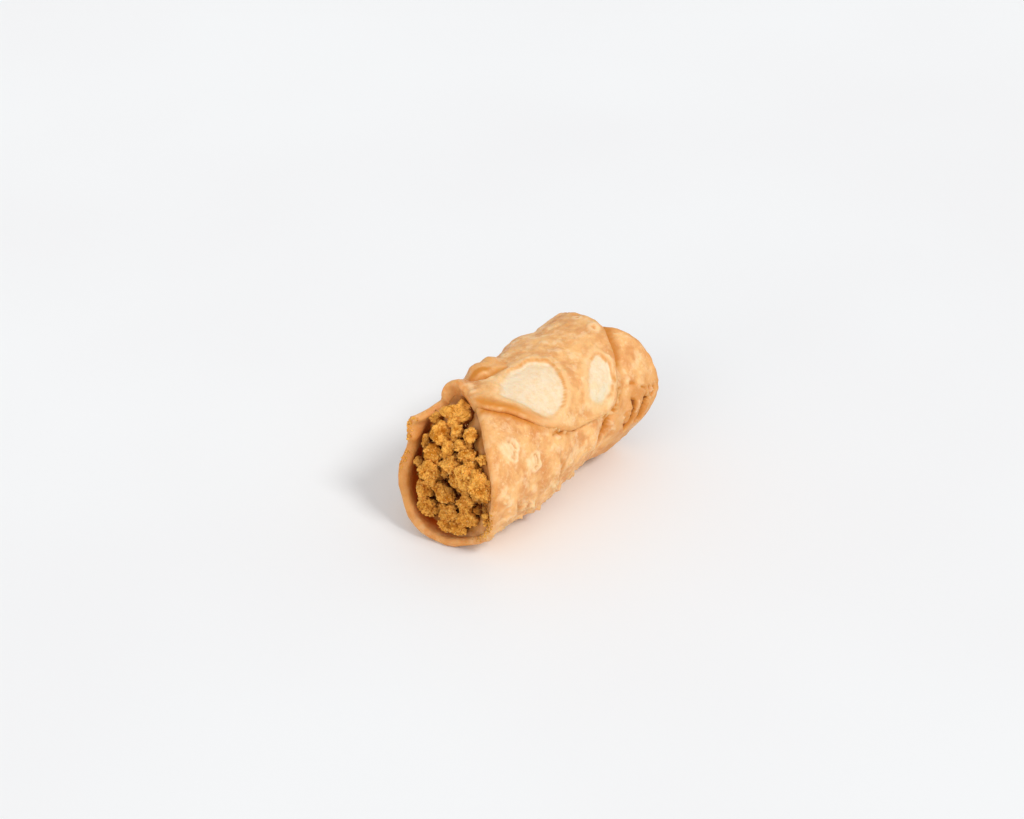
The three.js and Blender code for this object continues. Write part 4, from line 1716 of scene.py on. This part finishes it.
@dataclass
class Studio:
    """The camera, the floor and the light."""

    azimuth: float = -52.0
    elevation: float = 32.5
    roll: float = -2.0
    distance: float = 917.0
    lens: float = 100.0
    sensor: float = 36.0
    image_width: float = 1024.0
    image_height: float = 819.0
    axis_column: float = 525.2  # where the tube's frame has its origin in the image
    axis_row: float = 484.9
    floor_size: float = 6000.0
    room: str = "fdfdff"
    ambient: float = 0.64
    sunlight: tuple[float, float, float] = (1.0, 0.985, 0.96)
    suns: tuple[Sun, ...] = (
        Sun("key", 52.0, 47.0, 0.32 / math.sin(math.radians(47.0)), 16.0),
        Sun("fill", -24.0, 16.0, 0.3, 60.0),
    )

    def add_camera(self) -> None:
        """Places the camera."""
        back = toward(self.azimuth, self.elevation)
        turn, roll = math.radians(self.azimuth), math.radians(self.roll)
        level = Vector((math.cos(turn), math.sin(turn), 0.0))
        upright = back.cross(level)
        right = level * math.cos(roll) + upright * math.sin(roll)
        up = upright * math.cos(roll) - level * math.sin(roll)
        pixels = self.lens / self.sensor * self.image_width
        across = (self.axis_column - self.image_width / 2) / pixels * self.distance
        above = (self.image_height / 2 - self.axis_row) / pixels * self.distance
        place = back * self.distance - right * across - up * above - Vector(ORIGIN)
        data = bpy.data.cameras.new("camera")
        data.lens, data.sensor_width = self.lens, self.sensor
        data.clip_start, data.clip_end = 0.01, 50.0
        camera = add_object("camera", data)
        turned = Matrix((right, up, back)).transposed().to_4x4()
        camera.matrix_world = Matrix.Translation(place * MM) @ turned
        bpy.context.scene.camera = camera

    def add_floor(self) -> None:
        """Lays the floor."""
        flat = bmesh.new()
        half = self.floor_size / 2 * MM
        bmesh.ops.create_grid(flat, x_segments=8, y_segments=8, size=half)
        add_object("floor", new_mesh("floor", flat, PaleFloor().build()))

    def add_sun(self, sun: Sun) -> None:
        """Adds a distant light.

        Args:
            sun: The light.
        """
        light = bpy.data.lights.new(sun.name, "SUN")
        light.energy = sun.strength * math.pi
        light.angle = math.radians(sun.spread)
        light.color = self.sunlight
        lamp = add_object(sun.name, light)
        lamp.location = toward(self.azimuth + sun.aside, sun.rise)
        lamp.rotation_mode = "QUATERNION"
        lamp.rotation_quaternion = lamp.location.to_track_quat("Z", "Y")

    def add_light(self) -> None:
        """Lights the scene with a bright room, a soft key from the camera's right and a low fill."""
        scene = bpy.context.scene
        world = bpy.data.worlds.new("room")
        world.use_nodes = True
        background = world.node_tree.nodes["Background"]
        background.inputs["Color"].default_value = linear(self.room)
        background.inputs["Strength"].default_value = self.ambient
        scene.world = world
        for sun in self.suns:
            self.add_sun(sun)
        scene.view_settings.view_transform = "Standard"

    def build(self) -> None:
        """Sets the whole studio up."""
        self.add_camera()
        self.add_floor()
        self.add_light()
        log.info("studio ready")


# ---- The cannolo

FRONT_END = HeapForm(-1, -39.2, Curve((
    (0, -27.5), (30, -33), (60, -38.5), (90, -40.3), (130, -40.2), (180, -41), (215, -40),
    (250, -36.5), (280, -32.5), (310, -29), (340, -24), (360, -27.5),
)))
BACK_END = HeapForm(1, 39.0, Curve((
    (0, 34.5), (40, 39), (75, 42), (95, 41), (125, 34.5), (180, 34.5), (240, 37), (290, 36.5),
    (335, 34.5), (360, 34.5),
)))
FRONT_LUMPS = (
    Lump(5.3, 38.4, 8.8, 8.4, 0.5), Lump(8.8, 32.8, 6.6, 7.2), Lump(2.2, 35.6, 4.2, 4.6),
    Lump(-3.9, 37.2, 4, 4.8), Lump(-1.6, 33.6, 4.2, 3.8, -0.6), Lump(2.8, 31.2, 4.4, 6),
    Lump(8, 28, 5.8, 5), Lump(-6, 32.6, 5.2, 4.4), Lump(13.6, 35, 4.6, 3, -0.6),
    Lump(0, 28, 5.4, 5.2), Lump(-7.6, 27.2, 6.4, 8.6, 0.6), Lump(-12.4, 25.6, 7.4, 9.6, 0.4),
    Lump(8.4, 22.4, 7.6, 7.8, 0.3), Lump(5.2, 18.4, 4, 3.2, -0.8), Lump(1.6, 17, 6.2, 4.6),
    Lump(-2.4, 23.2, 3.4, 3.8, -0.8), Lump(10.4, 15.4, 5.4, 5.4), Lump(9.2, 10.4, 5.4, 6),
    Lump(-6.6, 17.2, 5.8, 5, 0.2), Lump(-7, 12.2, 6.6, 6.2), Lump(0.6, 10.8, 5.6, 5),
    Lump(1.6, 6.6, 5, 4.4), Lump(-3.6, 7.4, 5, 4.6), Lump(-15.2, 13.4, 1.8, 1.8, -0.5),
    Lump(-14.8, 15.8, 1.9, 1.4, -0.5), Lump(-11.6, 33.4, 3, 2.8, -0.4),
)
BACK_LUMPS = (
    Lump(-7, 32, 9, 8, 0.3), Lump(5, 34, 8, 7), Lump(12, 25, 7, 9), Lump(1, 24, 9, 8, 0.5),
    Lump(-11, 21, 8, 9), Lump(9, 13, 8, 8), Lump(-3, 13, 8, 9, 0.3), Lump(-14, 28, 4.5, 4),
    Lump(4, 7, 5, 4), Lump(-10, 10, 4, 4), Lump(-2, 37.5, 5, 4), Lump(9, 19, 4, 5),
)


def build_cannolo() -> None:
    """Builds the dough, the cream and both heaps of crumbs."""
    form = TubeForm()
    crumb = BiscuitCrumb().build()
    DoughShell(form).build(FriedWheatDough().build())
    CreamFilling(form, FRONT_END, BACK_END).build(CaramelCream().build())
    front = CrumbHeap("crumb_front", "crumbs_front", form, FRONT_END, FRONT_LUMPS, seed=3)
    front.strewn = 400
    front.build(crumb)
    back = CrumbHeap("crumb_back", "crumbs_back", form, BACK_END, BACK_LUMPS, seed=8)
    back.finest, back.bits, back.grains, back.dust = 5, 60, 600, 1200
    back.build(crumb)


def main() -> None:
    """Builds the part in its studio."""
    logging.basicConfig(level=logging.INFO, format="%(name)s: %(message)s")
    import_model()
    Studio().build()
    build_cannolo()


if __name__ == "__main__":
    main()
